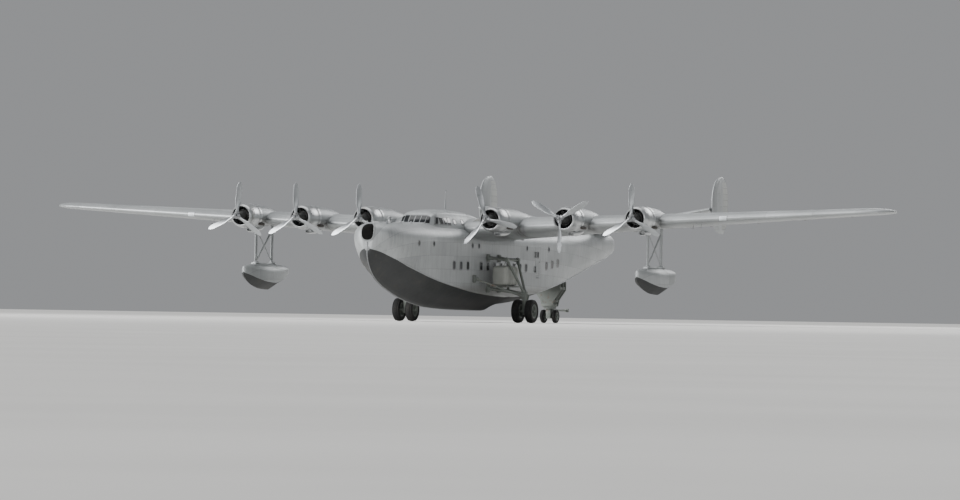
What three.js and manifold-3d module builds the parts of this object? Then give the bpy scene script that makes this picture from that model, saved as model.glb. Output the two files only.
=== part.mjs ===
// A six-engined, high-winged flying boat standing on its beaching gear, as a model at half the real size.
// The nose points to -Y, the port (left) wing to +X and +Z is up. Z is 0 under the tyres, Y is 0 at mid-length.
import * as THREE from 'three';
import { mergeVertices } from 'three/addons/utils/BufferGeometryUtils.js';
import Module from 'manifold-3d';

const wasm = await Module();
wasm.setup();

// Millimetres of this half-size model for each metre of the real aircraft.
const M = 500;
// Millimetres left between two pieces that are bolted together.
const SEAT_GAP = 0.4;
// Millimetres left round a piece that moves.
const RUNNING_GAP = 6;
const END_GAP = 10;

// Sizes of the real aircraft in metres. A station t is measured aft from the bow, a span s outboard from the
// middle, and a height z up from the ground.
const LENGTH = 43.46;
const HALF_SPAN = 28.7;

const WING = {
  rootLeadingEdge: 12.2, tipLeadingEdge: 14.4, rootChord: 8.6, tipChord: 3.6,
  rootZ: 5.75, dihedral: 3.0, rootIncidence: 3.0, tipIncidence: 1.0,
  rootThickness: 0.18, tipThickness: 0.11, camber: 0.022,
  joint: 14.5, roundFrom: 27.1, hinge: 0.74,
};
const FLAP = { inner: 2.35, outer: 14.2, noseRatio: 1.05 };
const AILERON = { inner: 14.95, outer: 26.6, noseRatio: 1.05 };

const TAILPLANE = {
  halfSpan: 8.3, rootLeadingEdge: 37.7, tipLeadingEdge: 39.3, rootChord: 4.5, tipChord: 3.0,
  rootZ: 6.22, dihedral: 11, thickness: 0.11, hinge: 0.66,
};
const ELEVATOR = { inner: 0.95, outer: 7.6, noseRatio: 1.08, rib: 0.2 };
const FIN = { centreZ: 8.16, halfHeight: 1.94, chord: 3.3, hingeStation: 41.66, hinge: 0.6, thickness: 0.1, lift: 0.25 };

// Each engine pair: span, height of the thrust line, station of the propeller.
const ENGINES = [
  { span: 4.3, z: 6.45, station: 8.75, nacelle: 7.9 },
  { span: 8.95, z: 6.52, station: 9.45, nacelle: 7.1 },
  { span: 13.4, z: 6.6, station: 10.2, nacelle: 6.2 },
];
const PROPELLER = { radius: 2.15, hubRadius: 0.17, blades: 3 };
const COWL = { behindPropeller: 0.62, opening: 0.58, inside: 0.7, outside: 0.78, firewall: 1.5 };

const FLOAT = { span: 13.4, bow: 11.4, length: 7.0, keelZ: 1.9, deckZ: 3.55, halfBeam: 0.68 };

const MAIN_GEAR = {
  span: 4.1, station: 16.2, wheelRadius: 0.75, tyreWidth: 0.48, wheelOffset: 0.45,
  rimRadius: 0.42, axleRadius: 0.09, postHalf: 0.13, postTop: 1.95,
};
const TAIL_GEAR = {
  station: 31.4, wheelRadius: 0.45, tyreWidth: 0.28, wheelOffset: 0.42,
  rimRadius: 0.25, axleRadius: 0.06, postHalf: 0.18, turntableZ: 1.02,
};

// A point of the real aircraft, in the model's millimetres.
const at = (s, t, z) => new THREE.Vector3(s * M, (t - LENGTH / 2) * M, z * M);
const radians = THREE.MathUtils.degToRad;
const mix = (a, b, share) => a + (b - a) * share;

// A smooth curve through (xs, ys) that never overshoots its points (monotone cubic).
function smoothCurve(xs, ys) {
  const steps = xs.slice(1).map((x, i) => (ys[i + 1] - ys[i]) / (x - xs[i]));
  const slopes = xs.map((_, i) => {
    if (i === 0) return steps[0];
    if (i === xs.length - 1) return steps[i - 1];
    const [a, b] = [steps[i - 1], steps[i]];
    return a * b <= 0 ? 0 : (2 * a * b) / (a + b);
  });
  return (x) => {
    let i = xs.findIndex((edge) => x < edge) - 1;
    if (i < 0) i = x < xs[0] ? 0 : xs.length - 2;
    const h = xs[i + 1] - xs[i];
    const u = (x - xs[i]) / h;
    return ys[i] * (1 + 2 * u) * (1 - u) ** 2 + slopes[i] * h * u * (1 - u) ** 2
      + ys[i + 1] * u * u * (3 - 2 * u) + slopes[i + 1] * h * u * u * (u - 1);
  };
}

// The triangles of a flat ring of points, as indices into it.
function capTriangles(ring) {
  const normal = new THREE.Vector3();
  ring.forEach((p, i) => {
    const q = ring[(i + 1) % ring.length];
    normal.add(new THREE.Vector3().crossVectors(p, q));
  });
  const turn = new THREE.Quaternion().setFromUnitVectors(normal.normalize(), new THREE.Vector3(0, 0, 1));
  const flat = ring.map((p) => p.clone().applyQuaternion(turn)).map((p) => new THREE.Vector2(p.x, p.y));
  return THREE.ShapeUtils.triangulateShape(flat, []);
}

// A closed geometry through rings of points, each ring with as many points as the others.
function loftGeometry(rings) {
  const count = rings[0].length;
  const positions = rings.flat().flatMap((p) => [p.x, p.y, p.z]);
  const faces = [];
  for (let r = 0; r + 1 < rings.length; r += 1) {
    for (let i = 0; i < count; i += 1) {
      const [a, b] = [r * count + i, r * count + ((i + 1) % count)];
      faces.push([a, b, b + count], [a, b + count, a + count]);
    }
  }
  const last = (rings.length - 1) * count;
  capTriangles(rings[0]).forEach(([a, b, c]) => faces.push([a, c, b]));
  capTriangles(rings.at(-1)).forEach(([a, b, c]) => faces.push([last + a, last + b, last + c]));
  const geometry = new THREE.BufferGeometry();
  geometry.setAttribute('position', new THREE.Float32BufferAttribute(positions, 3));
  geometry.setIndex(faces.flat());
  return geometry;
}

// A closed geometry as a manifold solid, with its faces turned outwards.
function solid(geometry) {
  const bare = geometry.index ? geometry.clone() : geometry;
  bare.deleteAttribute('normal');
  bare.deleteAttribute('uv');
  const merged = mergeVertices(bare, 1e-3);
  const vertices = new Float32Array(merged.attributes.position.array);
  const index = Array.from(merged.index.array);
  const faces = [];
  let volume = 0;
  const corner = (i) => new THREE.Vector3().fromArray(vertices, 3 * i);
  for (let i = 0; i < index.length; i += 3) {
    const [a, b, c] = index.slice(i, i + 3);
    if (a !== b && b !== c && c !== a) {
      faces.push([a, b, c]);
      volume += corner(a).dot(corner(b).cross(corner(c)));
    }
  }
  if (volume < 0) faces.forEach((face) => face.reverse());
  return new wasm.Manifold(new wasm.Mesh({
    numProp: 3, vertProperties: vertices, triVerts: new Uint32Array(faces.flat()),
  }));
}

const loft = (rings) => solid(loftGeometry(rings));

// A manifold solid as a three.js geometry.
function geometryOf(body) {
  const mesh = body.getMesh();
  const positions = [];
  for (let i = 0; i < mesh.numVert; i += 1) {
    positions.push(...mesh.vertProperties.subarray(i * mesh.numProp, i * mesh.numProp + 3));
  }
  const geometry = new THREE.BufferGeometry();
  geometry.setAttribute('position', new THREE.Float32BufferAttribute(positions, 3));
  geometry.setIndex(Array.from(mesh.triVerts));
  return geometry;
}

const mirrored = (body) => body.mirror([1, 0, 0]);

// The port half of a body and its mirror image as one, so that both sides match exactly.
function symmetric(body) {
  const half = body.trimByPlane([1, 0, 0], 0);
  return half.add(mirrored(half));
}

// A box between two corners given in real metres.
function box([s0, t0, z0], [s1, t1, z1]) {
  const [low, high] = [at(s0, t0, z0), at(s1, t1, z1)];
  const size = high.clone().sub(low);
  const geometry = new THREE.BoxGeometry(size.x, size.y, size.z);
  const middle = low.clone().add(high).multiplyScalar(0.5);
  return solid(geometry.translate(middle.x, middle.y, middle.z));
}

// A round bar between two points in millimetres. flatten squashes it across the second direction.
function bar(from, to, radius, sides = 12, flatten = 1) {
  const along = to.clone().sub(from);
  const geometry = new THREE.CylinderGeometry(radius, radius, along.length(), sides);
  geometry.scale(flatten, 1, 1);
  const turn = new THREE.Quaternion().setFromUnitVectors(new THREE.Vector3(0, 1, 0), along.clone().normalize());
  const middle = from.clone().add(to).multiplyScalar(0.5);
  geometry.applyQuaternion(turn).translate(middle.x, middle.y, middle.z);
  return solid(geometry);
}

// A turned body from a profile of [radius, distance] pairs in real metres, about an axis along +Y or +X.
function turned(profile, sides, axis = 'y') {
  const points = profile.map(([radius, distance]) => new THREE.Vector2(radius * M, distance * M));
  const geometry = new THREE.LatheGeometry(points, sides);
  if (axis === 'x') geometry.rotateZ(-Math.PI / 2);
  return solid(geometry);
}

// A hole tool whose flats clear a round bar of this radius.
const holeTool = (from, to, radius, sides = 16) => bar(from, to, radius / Math.cos(Math.PI / sides), sides);

const union = (bodies) => bodies.reduce((sum, body) => sum.add(body));

// HULL. Columns: station, keel height, chine half-beam and height, side half-beam, shoulder and deck height.
const HULL_TABLE = [
  [0.0, 4.35, 0.10, 4.45, 0.16, 5.12, 5.58],
  [0.5, 3.20, 0.64, 4.25, 1.00, 5.12, 5.95],
  [1.0, 2.80, 0.92, 4.05, 1.30, 5.10, 6.04],
  [2.0, 2.32, 1.26, 3.72, 1.56, 5.08, 6.09],
  [4.0, 1.74, 1.60, 3.20, 1.80, 5.06, 6.12],
  [6.0, 1.32, 1.78, 2.77, 1.88, 5.05, 6.15],
  [9.5, 0.92, 1.88, 2.28, 1.90, 5.05, 6.15],
  [14.0, 0.80, 1.90, 1.86, 1.90, 5.05, 6.15],
  [19.0, 0.78, 1.88, 1.68, 1.90, 5.05, 6.15],
  [24.0, 1.10, 1.72, 1.95, 1.80, 5.05, 6.15],
  [29.0, 1.80, 1.42, 2.55, 1.60, 5.08, 6.16],
  [34.0, 2.90, 1.02, 3.35, 1.28, 5.15, 6.18],
  [39.0, 3.95, 0.58, 4.20, 0.82, 5.30, 6.20],
  [42.3, 4.60, 0.28, 4.80, 0.40, 5.42, 6.10],
  [43.46, 5.00, 0.06, 5.05, 0.08, 5.48, 5.80],
];
const HULL_STATIONS = [
  0, 0.05, 0.2, 0.45, 0.8, 1.3, 2, 2.9, 4, 5.4, 7, 9, 11.5, 15, 19,
  22, 25, 28, 31, 33, 35, 37, 39, 41, 42.3, 43.1, 43.46,
];
const STEP_STATION = 19.0;
const SECOND_STEP = { point: 33.0, wings: 28.6 };
const STEP_HEIGHT = 0.3;
const SHOULDER_POWER = 2.3;

// The columns are drawn against the square root of the station, which gives the bow its bluff round nose.
const hullCurves = [1, 2, 3, 4, 5, 6].map((column) => smoothCurve(
  HULL_TABLE.map((row) => Math.sqrt(row[0])), HULL_TABLE.map((row) => row[column]),
));
function hullAt(t) {
  const [keel, chineHalf, chineZ, sideHalf, shoulderZ, deckZ] = hullCurves.map((curve) => curve(Math.sqrt(t)));
  return { keel, chineHalf, chineZ, sideHalf, shoulderZ, deckZ };
}

// A ring from the points of its port half, listed from the lowest middle point to the highest.
const bothSides = (half, t) => [
  ...half.map(([s, z]) => at(s, t, z)),
  ...half.slice(1, -1).reverse().map(([s, z]) => at(-s, t, z)),
];

// The body above the chines. Aft of the pointed step its underside is a shallow V down to the keel.
function hullRing(t, grow = 0) {
  const h = hullAt(t);
  const underside = t > SECOND_STEP.point + 0.1 ? h.keel : h.chineZ;
  const side = h.sideHalf + grow;
  const half = [
    [0, underside],
    [h.chineHalf + grow, h.chineZ],
    [mix(h.chineHalf, h.sideHalf, 0.5) + grow, mix(h.chineZ, h.shoulderZ, 0.28)],
    [mix(h.chineHalf, h.sideHalf, 0.86) + grow, mix(h.chineZ, h.shoulderZ, 0.64)],
    [side, h.shoulderZ],
  ];
  for (const angle of [16, 32, 48, 63, 77]) {
    const [c, s] = [Math.cos(radians(angle)), Math.sin(radians(angle))];
    half.push([side * c ** (2 / SHOULDER_POWER), mix(h.shoulderZ, h.deckZ + grow, s ** (2 / SHOULDER_POWER))]);
  }
  half.push([0, h.deckZ + grow]);
  return bothSides(half, t);
}
const hullShape = (grow) => symmetric(loft(HULL_STATIONS.map((t) => hullRing(t, grow))));

// The V bottom under the chines, hollow towards the chine, with its flat top against the hull body.
function bottomRing(t, keel, grow = 0) {
  const h = hullAt(t);
  const top = h.chineZ - SEAT_GAP / M;
  return bothSides([
    [0, keel - grow],
    [0.04 * h.chineHalf, keel - grow],
    [0.35 * h.chineHalf, mix(keel, top, 0.3) - grow],
    [0.7 * h.chineHalf, mix(keel, top, 0.62) - grow],
    [0.9 * h.chineHalf, mix(keel, top, 0.86) - grow],
    [h.chineHalf + grow, top - grow],
    [0, top],
  ], t);
}
const foreStations = HULL_STATIONS.filter((t) => t <= STEP_STATION);
const foreBottom = symmetric(loft(foreStations.map((t) => bottomRing(t, hullAt(t).keel))));

// Aft of the main step the keel starts a step higher and rises to the pointed second step.
const afterKeel = smoothCurve([19, 24, 29, 34], [0.78 + STEP_HEIGHT, 1.38, 2.02, 2.86]);
function afterBottomShape(grow) {
  const stations = [STEP_STATION + SEAT_GAP / M, 22, 25, 28, 31, 33.4];
  const full = loft(stations.map((t) => bottomRing(t, afterKeel(t), grow)));
  const tip = 0.12 + 3 * grow;
  const plan = [[-2.2, STEP_STATION - 1], [2.2, STEP_STATION - 1], [2.2, SECOND_STEP.wings + grow],
    [tip, SECOND_STEP.point + 3 * grow], [-tip, SECOND_STEP.point + 3 * grow], [-2.2, SECOND_STEP.wings + grow]];
  const [low, high] = [0, 4].map((z) => plan.map(([s, t]) => at(s, t, z)));
  return symmetric(full.intersect(loft([low, high])));
}
const afterBottom = afterBottomShape(0);

// WINGS AND TAIL SURFACES. Half the thickness and the camber of an aerofoil at a share x of its chord.
const thicknessAt = (x) => 5 * (0.2969 * Math.sqrt(x) - 0.126 * x - 0.3516 * x ** 2 + 0.2843 * x ** 3 - 0.1036 * x ** 4);
const camberAt = (x, camber) => camber * (x < 0.4 ? (0.8 * x - x * x) / 0.16 : (0.2 + 0.8 * x - x * x) / 0.36);
const CHORD_SHARES = [1, 0.87, 0.74, 0.6, 0.46, 0.33, 0.22, 0.13, 0.065, 0.025, 0.006];
const TRAILING_EDGE = 0.008;

// An aerofoil outline as [share of chord, height in chords] from the trailing edge over the top and back.
function aerofoil(thickness, camber, edge) {
  const side = (sign) => CHORD_SHARES.map((x) => [
    x, camberAt(x, camber) + sign * Math.max(thickness * thicknessAt(x), edge),
  ]);
  return [...side(1), [0, 0], ...side(-1).reverse()];
}

// The outline's points pushed outwards by grow, in the plane of the section.
function grown(points, grow) {
  return points.map(([x, z], i) => {
    const [before, after] = [points.at(i - 1), points[(i + 1) % points.length]];
    const [dx, dz] = [after[0] - before[0], after[1] - before[1]];
    const length = Math.hypot(dx, dz);
    return [x + (grow * dz) / length, z - (grow * dx) / length];
  });
}

function wingAt(s) {
  const share = s / HALF_SPAN;
  let chord = mix(WING.rootChord, WING.tipChord, share);
  let leadingEdge = mix(WING.rootLeadingEdge, WING.tipLeadingEdge, share);
  if (s > WING.roundFrom) {
    const rounding = Math.sqrt(Math.max(1 - ((s - WING.roundFrom) / (HALF_SPAN - WING.roundFrom)) ** 2, 0.012));
    leadingEdge += 0.42 * chord * (1 - rounding);
    chord *= rounding;
  }
  return {
    chord, leadingEdge, z: WING.rootZ + s * Math.tan(radians(WING.dihedral)),
    incidence: mix(WING.rootIncidence, WING.tipIncidence, share),
    thickness: mix(WING.rootThickness, WING.tipThickness, share),
  };
}

// A point of the wing at span s, a share of the chord aft and a height in chords above the chord line.
function wingPoint(s, x, z) {
  const w = wingAt(Math.abs(s));
  const [c, n] = [Math.cos(radians(w.incidence)), Math.sin(radians(w.incidence))];
  return at(s, w.leadingEdge + w.chord * (x * c + z * n), w.z + w.chord * (z * c - x * n));
}
function wingRing(s, grow = 0) {
  const w = wingAt(Math.abs(s));
  const outline = grown(aerofoil(w.thickness, WING.camber, TRAILING_EDGE / w.chord), grow / M / w.chord);
  return outline.map(([x, z]) => wingPoint(s, x, z));
}
const CENTRE_SHARES = [-1, -0.5, 0, 0.5, 1];
const centreShape = (grow) => symmetric(loft(CENTRE_SHARES.map((share) => wingRing(share * WING.joint, grow))));
const outerRings = [WING.joint + SEAT_GAP / M, 21, WING.roundFrom, 27.9, 28.4, HALF_SPAN].map((s) => wingRing(s));
const wholeCentre = centreShape(0);
const wholeOuter = loft(outerRings);

// The space behind a hinge line, with a round nose about it. It cuts the cove in the fixed surface and, made
// smaller, cuts the moving surface out of the same outline.
const NOSE_STEPS = 8;
function hingeTool(from, to, fromRadius, toRadius, { gap = 0, endGap = 0 }) {
  const along = to.clone().sub(from).normalize();
  const rear = new THREE.Vector3(0, 1, 0);
  rear.addScaledVector(along, -rear.dot(along)).normalize();
  const up = new THREE.Vector3().crossVectors(rear, along);
  const corner = gap ? 1 / Math.cos(Math.PI / (2 * NOSE_STEPS)) : 1;
  const ends = [[from.clone().addScaledVector(along, endGap), fromRadius],
    [to.clone().addScaledVector(along, -endGap), toRadius]];
  return loft(ends.map(([centre, radius]) => {
    const r = (radius + gap) * corner;
    const [height, depth] = [4 * fromRadius + 60, 30 * fromRadius];
    const outline = [[0, height]];
    for (let i = 0; i <= NOSE_STEPS; i += 1) {
      const angle = (Math.PI * i) / NOSE_STEPS;
      outline.push([-r * Math.sin(angle), r * Math.cos(angle)]);
    }
    outline.push([0, -height], [depth, -height], [depth, height]);
    return outline.map(([a, b]) => centre.clone().addScaledVector(rear, a).addScaledVector(up, b));
  }));
}

// The hinge line of a wing surface: a point on it, and the nose radius there in millimetres.
function wingHinge(s, ratio) {
  const w = wingAt(s);
  const half = w.thickness * thicknessAt(WING.hinge) * w.chord;
  return [wingPoint(s, WING.hinge, camberAt(WING.hinge, WING.camber)), half * ratio * M];
}
const coveTool = ([[from, fromRadius], [to, toRadius]]) => hingeTool(
  from, to, fromRadius, toRadius, { gap: RUNNING_GAP },
);
const movingTool = ([[from, fromRadius], [to, toRadius]]) => hingeTool(
  from, to, fromRadius, toRadius, { endGap: END_GAP },
);

// A hinge pin at each end of a moving surface, and the holes for the pins in the fixed one.
const HINGE_PIN = { radius: 8, reach: 45, root: 60, play: 0.3 };
function pinPair([[from], [to]], make, spare) {
  const along = to.clone().sub(from).normalize();
  return [[from, -1], [to, 1]].map(([end, out]) => make(
    end.clone().addScaledVector(along, -out * HINGE_PIN.root),
    end.clone().addScaledVector(along, out * (HINGE_PIN.reach + spare)),
  ));
}
const cutMoving = (whole, hinges) => union([whole.intersect(movingTool(hinges)),
  ...pinPair(hinges, (a, b) => bar(a, b, HINGE_PIN.radius, 8), 0)]);
const fixedTools = (hinges) => [coveTool(hinges),
  ...pinPair(hinges, (a, b) => holeTool(a, b, HINGE_PIN.radius + HINGE_PIN.play, 8), 3)];
const cutFixed = (whole, tools) => tools.reduce((left, tool) => left.subtract(tool), whole);
const flapHinges = [FLAP.inner, FLAP.outer].map((s) => wingHinge(s, FLAP.noseRatio));
const flap = cutMoving(wholeCentre, flapHinges);
const flapTools = fixedTools(flapHinges);
const wingCentre = cutFixed(wholeCentre, [...flapTools, ...flapTools.map(mirrored)]);
const aileronHinges = [AILERON.inner, AILERON.outer].map((s) => wingHinge(s, AILERON.noseRatio));
const aileron = cutMoving(wholeOuter, aileronHinges);
const wingOuter = cutFixed(wholeOuter, fixedTools(aileronHinges));

// TAIL
function tailAt(s) {
  const share = s / TAILPLANE.halfSpan;
  return {
    chord: mix(TAILPLANE.rootChord, TAILPLANE.tipChord, share),
    leadingEdge: mix(TAILPLANE.rootLeadingEdge, TAILPLANE.tipLeadingEdge, share),
    z: TAILPLANE.rootZ + s * Math.tan(radians(TAILPLANE.dihedral)),
  };
}
function tailRing(s, grow = 0) {
  const p = tailAt(Math.abs(s));
  const outline = grown(aerofoil(TAILPLANE.thickness, 0, TRAILING_EDGE / p.chord), grow / M / p.chord);
  return outline.map(([x, z]) => at(s, p.leadingEdge + x * p.chord, p.z + z * p.chord));
}
const FIN_SPAN = TAILPLANE.halfSpan + FIN.thickness * FIN.chord * 0.5;
const TAIL_SPANS = [-1, 0, 1].map((side) => side * (TAILPLANE.halfSpan + 0.1));
const tailShape = (grow) => symmetric(loft(TAIL_SPANS.map((s) => tailRing(s, grow))));
const tailHinge = (s) => {
  const p = tailAt(s);
  return [at(s, p.leadingEdge + TAILPLANE.hinge * p.chord, p.z),
    TAILPLANE.thickness * thicknessAt(TAILPLANE.hinge) * p.chord * ELEVATOR.noseRatio * M];
};
const elevatorHinges = [ELEVATOR.inner, ELEVATOR.outer].map(tailHinge);
const rudderNotch = [ELEVATOR.outer + ELEVATOR.rib, TAILPLANE.halfSpan + 0.3].map(tailHinge);

// The end fins are ovals that stand on edge. Their hinge line is upright and straight.
function finRing(share, grow = 0) {
  const size = (1 - Math.abs(share) ** 2.4) ** (1 / 2.4);
  const chord = FIN.chord * Math.max(size, 0.16);
  const outline = grown(aerofoil(FIN.thickness, 0, TRAILING_EDGE / chord), grow / M / chord);
  const z = FIN.centreZ + share * FIN.halfHeight;
  const leading = FIN.hingeStation - FIN.hinge * chord;
  return outline.map(([x, across]) => at(FIN_SPAN + across * chord, leading + x * chord, z));
}
const finShape = (grow) => loft([-1, -0.88, -0.55, 0, 0.55, 0.88, 1].map((u) => finRing(u, grow)));
const rudderRadius = FIN.thickness * thicknessAt(FIN.hinge) * FIN.chord * 1.06 * M;
const rudderHinge = (z) => [at(FIN_SPAN, FIN.hingeStation, z), rudderRadius];
const rudderHinges = [FIN.centreZ - FIN.halfHeight + 0.3, FIN.centreZ + FIN.halfHeight - 0.3].map(rudderHinge);
const fin = cutFixed(finShape(0), fixedTools(rudderHinges));
const rudder = cutMoving(finShape(0), rudderHinges);

// A rib of the tailplane carries the elevator's outer hinge. Outboard of it a notch clears the rudder.
const elevatorTools = [...fixedTools(elevatorHinges), coveTool(rudderNotch), finShape(SEAT_GAP)];
const tailplane = cutFixed(tailShape(0), [...elevatorTools, ...elevatorTools.map(mirrored)]);
const elevator = cutMoving(tailShape(0), elevatorHinges);

// FLIGHT DECK. Columns: station, half-width at the deck, at the eaves, height of the eaves and of the roof.
const CANOPY_TABLE = [
  [7.3, 0.80, 0.70, 6.00, 6.12],
  [7.6, 1.04, 0.90, 6.26, 6.46],
  [8.05, 1.20, 1.02, 6.52, 6.82],
  [8.6, 1.30, 1.11, 6.64, 6.97],
  [9.6, 1.35, 1.15, 6.69, 7.04],
  [11.3, 1.38, 1.17, 6.70, 7.06],
  [13.2, 1.35, 1.13, 6.68, 7.02],
  [15.6, 1.18, 0.94, 6.52, 6.84],
  [17.8, 0.80, 0.52, 6.20, 6.42],
];
const CANOPY_FOOT = 5.6;
const canopyRings = CANOPY_TABLE.map(([t, deckHalf, eavesHalf, eavesZ, roofZ]) => bothSides([
  [0, CANOPY_FOOT], [deckHalf, CANOPY_FOOT], [deckHalf, mix(CANOPY_FOOT, eavesZ, 0.5)], [eavesHalf, eavesZ],
  [0.84 * eavesHalf, mix(eavesZ, roofZ, 0.52)], [0.6 * eavesHalf, mix(eavesZ, roofZ, 0.82)],
  [0.3 * eavesHalf, mix(eavesZ, roofZ, 0.96)], [0, roofZ],
], t));
const grownWing = centreShape(SEAT_GAP);
const canopy = symmetric(loft(canopyRings)).subtract(hullShape(SEAT_GAP / M)).subtract(grownWing);

// PASSENGER DOOR, flush in the port side, hinged at its front edge.
const DOOR = { front: 23.9, rear: 24.95, sill: 3.15, head: 4.95, thickness: 0.09, outside: 2.4 };
const doorInside = hullAt(DOOR.rear).sideHalf - DOOR.thickness - 0.03;
const edge = RUNNING_GAP / M;
const doorTool = box([doorInside, DOOR.front, DOOR.sill], [DOOR.outside, DOOR.rear, DOOR.head]);
const doorway = box([doorInside - edge, DOOR.front - edge, DOOR.sill - edge],
  [DOOR.outside, DOOR.rear + edge, DOOR.head + edge]);
const wholeHull = hullShape(0);

// The door's two outside hinges: a knuckle and pin on the door, and a lug with a hole on the hull above it.
const DOOR_HINGE = {
  heights: [3.5, 4.45], radius: 0.034, pin: 0.016, knuckle: 0.14, lug: 0.12, proud: 0.05, reach: 0.16,
};
const hingeSide = hullAt(DOOR.front).sideHalf + DOOR_HINGE.proud;
const onHinge = (z) => at(hingeSide, DOOR.front, z);
const doorKnuckles = union(DOOR_HINGE.heights.map((z) => union([
  bar(onHinge(z), onHinge(z + DOOR_HINGE.knuckle), DOOR_HINGE.radius * M, 10),
  bar(onHinge(z), onHinge(z + DOOR_HINGE.knuckle + DOOR_HINGE.lug), DOOR_HINGE.pin * M, 8),
  box([hingeSide - 0.14, DOOR.front, z], [hingeSide, DOOR.front + DOOR_HINGE.reach, z + DOOR_HINGE.knuckle]),
])));
const hullLugs = union(DOOR_HINGE.heights.map((z) => {
  const [low, high] = [z + DOOR_HINGE.knuckle + 1 / M, z + DOOR_HINGE.knuckle + DOOR_HINGE.lug];
  return union([
    bar(onHinge(low), onHinge(high), DOOR_HINGE.radius * M, 10),
    box([hingeSide - 0.14, DOOR.front - DOOR_HINGE.reach, low], [hingeSide, DOOR.front - edge, high]),
  ]).subtract(holeTool(onHinge(low - 0.1), onHinge(high + 0.1), DOOR_HINGE.pin * M + 0.3, 8));
}));
const sweep = bar(onHinge(DOOR.sill), onHinge(DOOR.head), (DOOR_HINGE.radius + edge) * M, 16);
const door = wholeHull.intersect(doorTool).add(doorKnuckles);
const hull = cutFixed(wholeHull, [grownWing, tailShape(SEAT_GAP), doorway, sweep]).add(hullLugs);

// POWER PLANTS, drawn about the thrust line with the propeller at y = 0 and aft along +Y.
// The oil cooler's scoop under each nacelle. Columns: distance aft, half-width, bottom, top (as radii).
const SCOOP_TABLE = [
  [2.0, 0.2, -1.0, -0.7],
  [2.1, 0.24, -1.04, -0.66],
  [3.0, 0.26, -1.0, -0.6],
  [4.1, 0.16, -0.74, -0.5],
];
function scoopShape() {
  return loft(SCOOP_TABLE.map(([y, half, low, high]) => [
    [-half, high], [-half, mix(low, high, 0.4)], [-0.7 * half, mix(low, high, 0.1)], [0, low],
    [0.7 * half, mix(low, high, 0.1)], [half, mix(low, high, 0.4)], [half, high],
  ].map(([x, z]) => new THREE.Vector3(x, y, z).multiplyScalar(M))));
}
const COWL_SIDES = 20;
function nacelleShape(length) {
  const taper = (share) => mix(1.3, length, share);
  const profile = [
    [0, COWL.firewall], [COWL.inside, COWL.firewall], [COWL.inside, 0.42], [COWL.opening, 0.07],
    [0.6, 0.01], [0.67, 0.04], [0.74, 0.2], [COWL.outside, 0.5], [COWL.outside, 1.3], [0.74, taper(0.3)],
    [0.6, taper(0.58)], [0.36, taper(0.83)], [0, length],
  ];
  return turned(profile.map(([radius, y]) => [radius, y + COWL.behindPropeller]), COWL_SIDES).add(scoopShape());
}

const CYLINDERS_IN_ROW = 7;
const ROWS = [{ y: 1.15, turn: 0 }, { y: 1.55, turn: Math.PI / CYLINDERS_IN_ROW }];
// The propeller's shaft turns in a hole in the engine's nose.
const SHAFT = { radius: 0.045, end: 0.42, play: 0.3, sides: 14 };
function engineShape() {
  const back = COWL.firewall + COWL.behindPropeller - SEAT_GAP / M;
  const parts = [turned([[0, 0.2], [0.13, 0.2], [0.17, 0.55], [0.3, 0.85], [0.3, back], [0, back]], 10)];
  for (const row of ROWS) {
    for (let i = 0; i < CYLINDERS_IN_ROW; i += 1) {
      const angle = (2 * Math.PI * i) / CYLINDERS_IN_ROW + row.turn;
      const out = new THREE.Vector3(Math.sin(angle), 0, Math.cos(angle));
      const foot = new THREE.Vector3(0, row.y * M, 0);
      parts.push(bar(foot.clone().addScaledVector(out, 0.2 * M), foot.clone().addScaledVector(out, 0.655 * M),
        0.105 * M, 6));
    }
  }
  const holeEnd = new THREE.Vector3(0, (SHAFT.end + 0.02) * M, 0);
  const shaftHole = holeTool(new THREE.Vector3(), holeEnd, SHAFT.radius * M + SHAFT.play, SHAFT.sides);
  return union(parts).subtract(shaftHole);
}

// Blade sections. Columns: share of the radius, chord, thickness, pitch in degrees.
const BLADE_TABLE = [
  [0.05, 0.20, 0.19, 50],
  [0.20, 0.22, 0.15, 46],
  [0.45, 0.38, 0.065, 34],
  [0.80, 0.37, 0.034, 23],
  [0.94, 0.25, 0.022, 19],
  [1.0, 0.09, 0.014, 18],
];
const SECTION_STEPS = 8;
function bladeShape(phase) {
  const rings = BLADE_TABLE.map(([share, chord, thickness, pitch]) => {
    const ring = [];
    for (let i = 0; i < SECTION_STEPS; i += 1) {
      const angle = (2 * Math.PI * i) / SECTION_STEPS;
      const [c, h] = [0.5 * chord * Math.cos(angle), 0.5 * thickness * Math.sin(angle)];
      const [cp, sp] = [Math.cos(radians(pitch)), Math.sin(radians(pitch))];
      ring.push(new THREE.Vector3(c * cp - h * sp, c * sp + h * cp, share * PROPELLER.radius).multiplyScalar(M));
    }
    return ring.map((p) => p.applyAxisAngle(new THREE.Vector3(0, 1, 0), phase));
  });
  return loft(rings);
}
function propellerShape() {
  const back = 0.2 - RUNNING_GAP / M;
  const hub = turned([[0, -0.3], [0.1, -0.27], [PROPELLER.hubRadius, -0.08],
    [PROPELLER.hubRadius, 0.12], [0.12, back], [0, back]], 10);
  const blades = Array.from({ length: PROPELLER.blades }, (_, i) => bladeShape((2 * Math.PI * i) / PROPELLER.blades));
  const shaft = bar(new THREE.Vector3(), new THREE.Vector3(0, SHAFT.end * M, 0), SHAFT.radius * M, SHAFT.sides);
  return union([hub, shaft, ...blades]);
}

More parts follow.
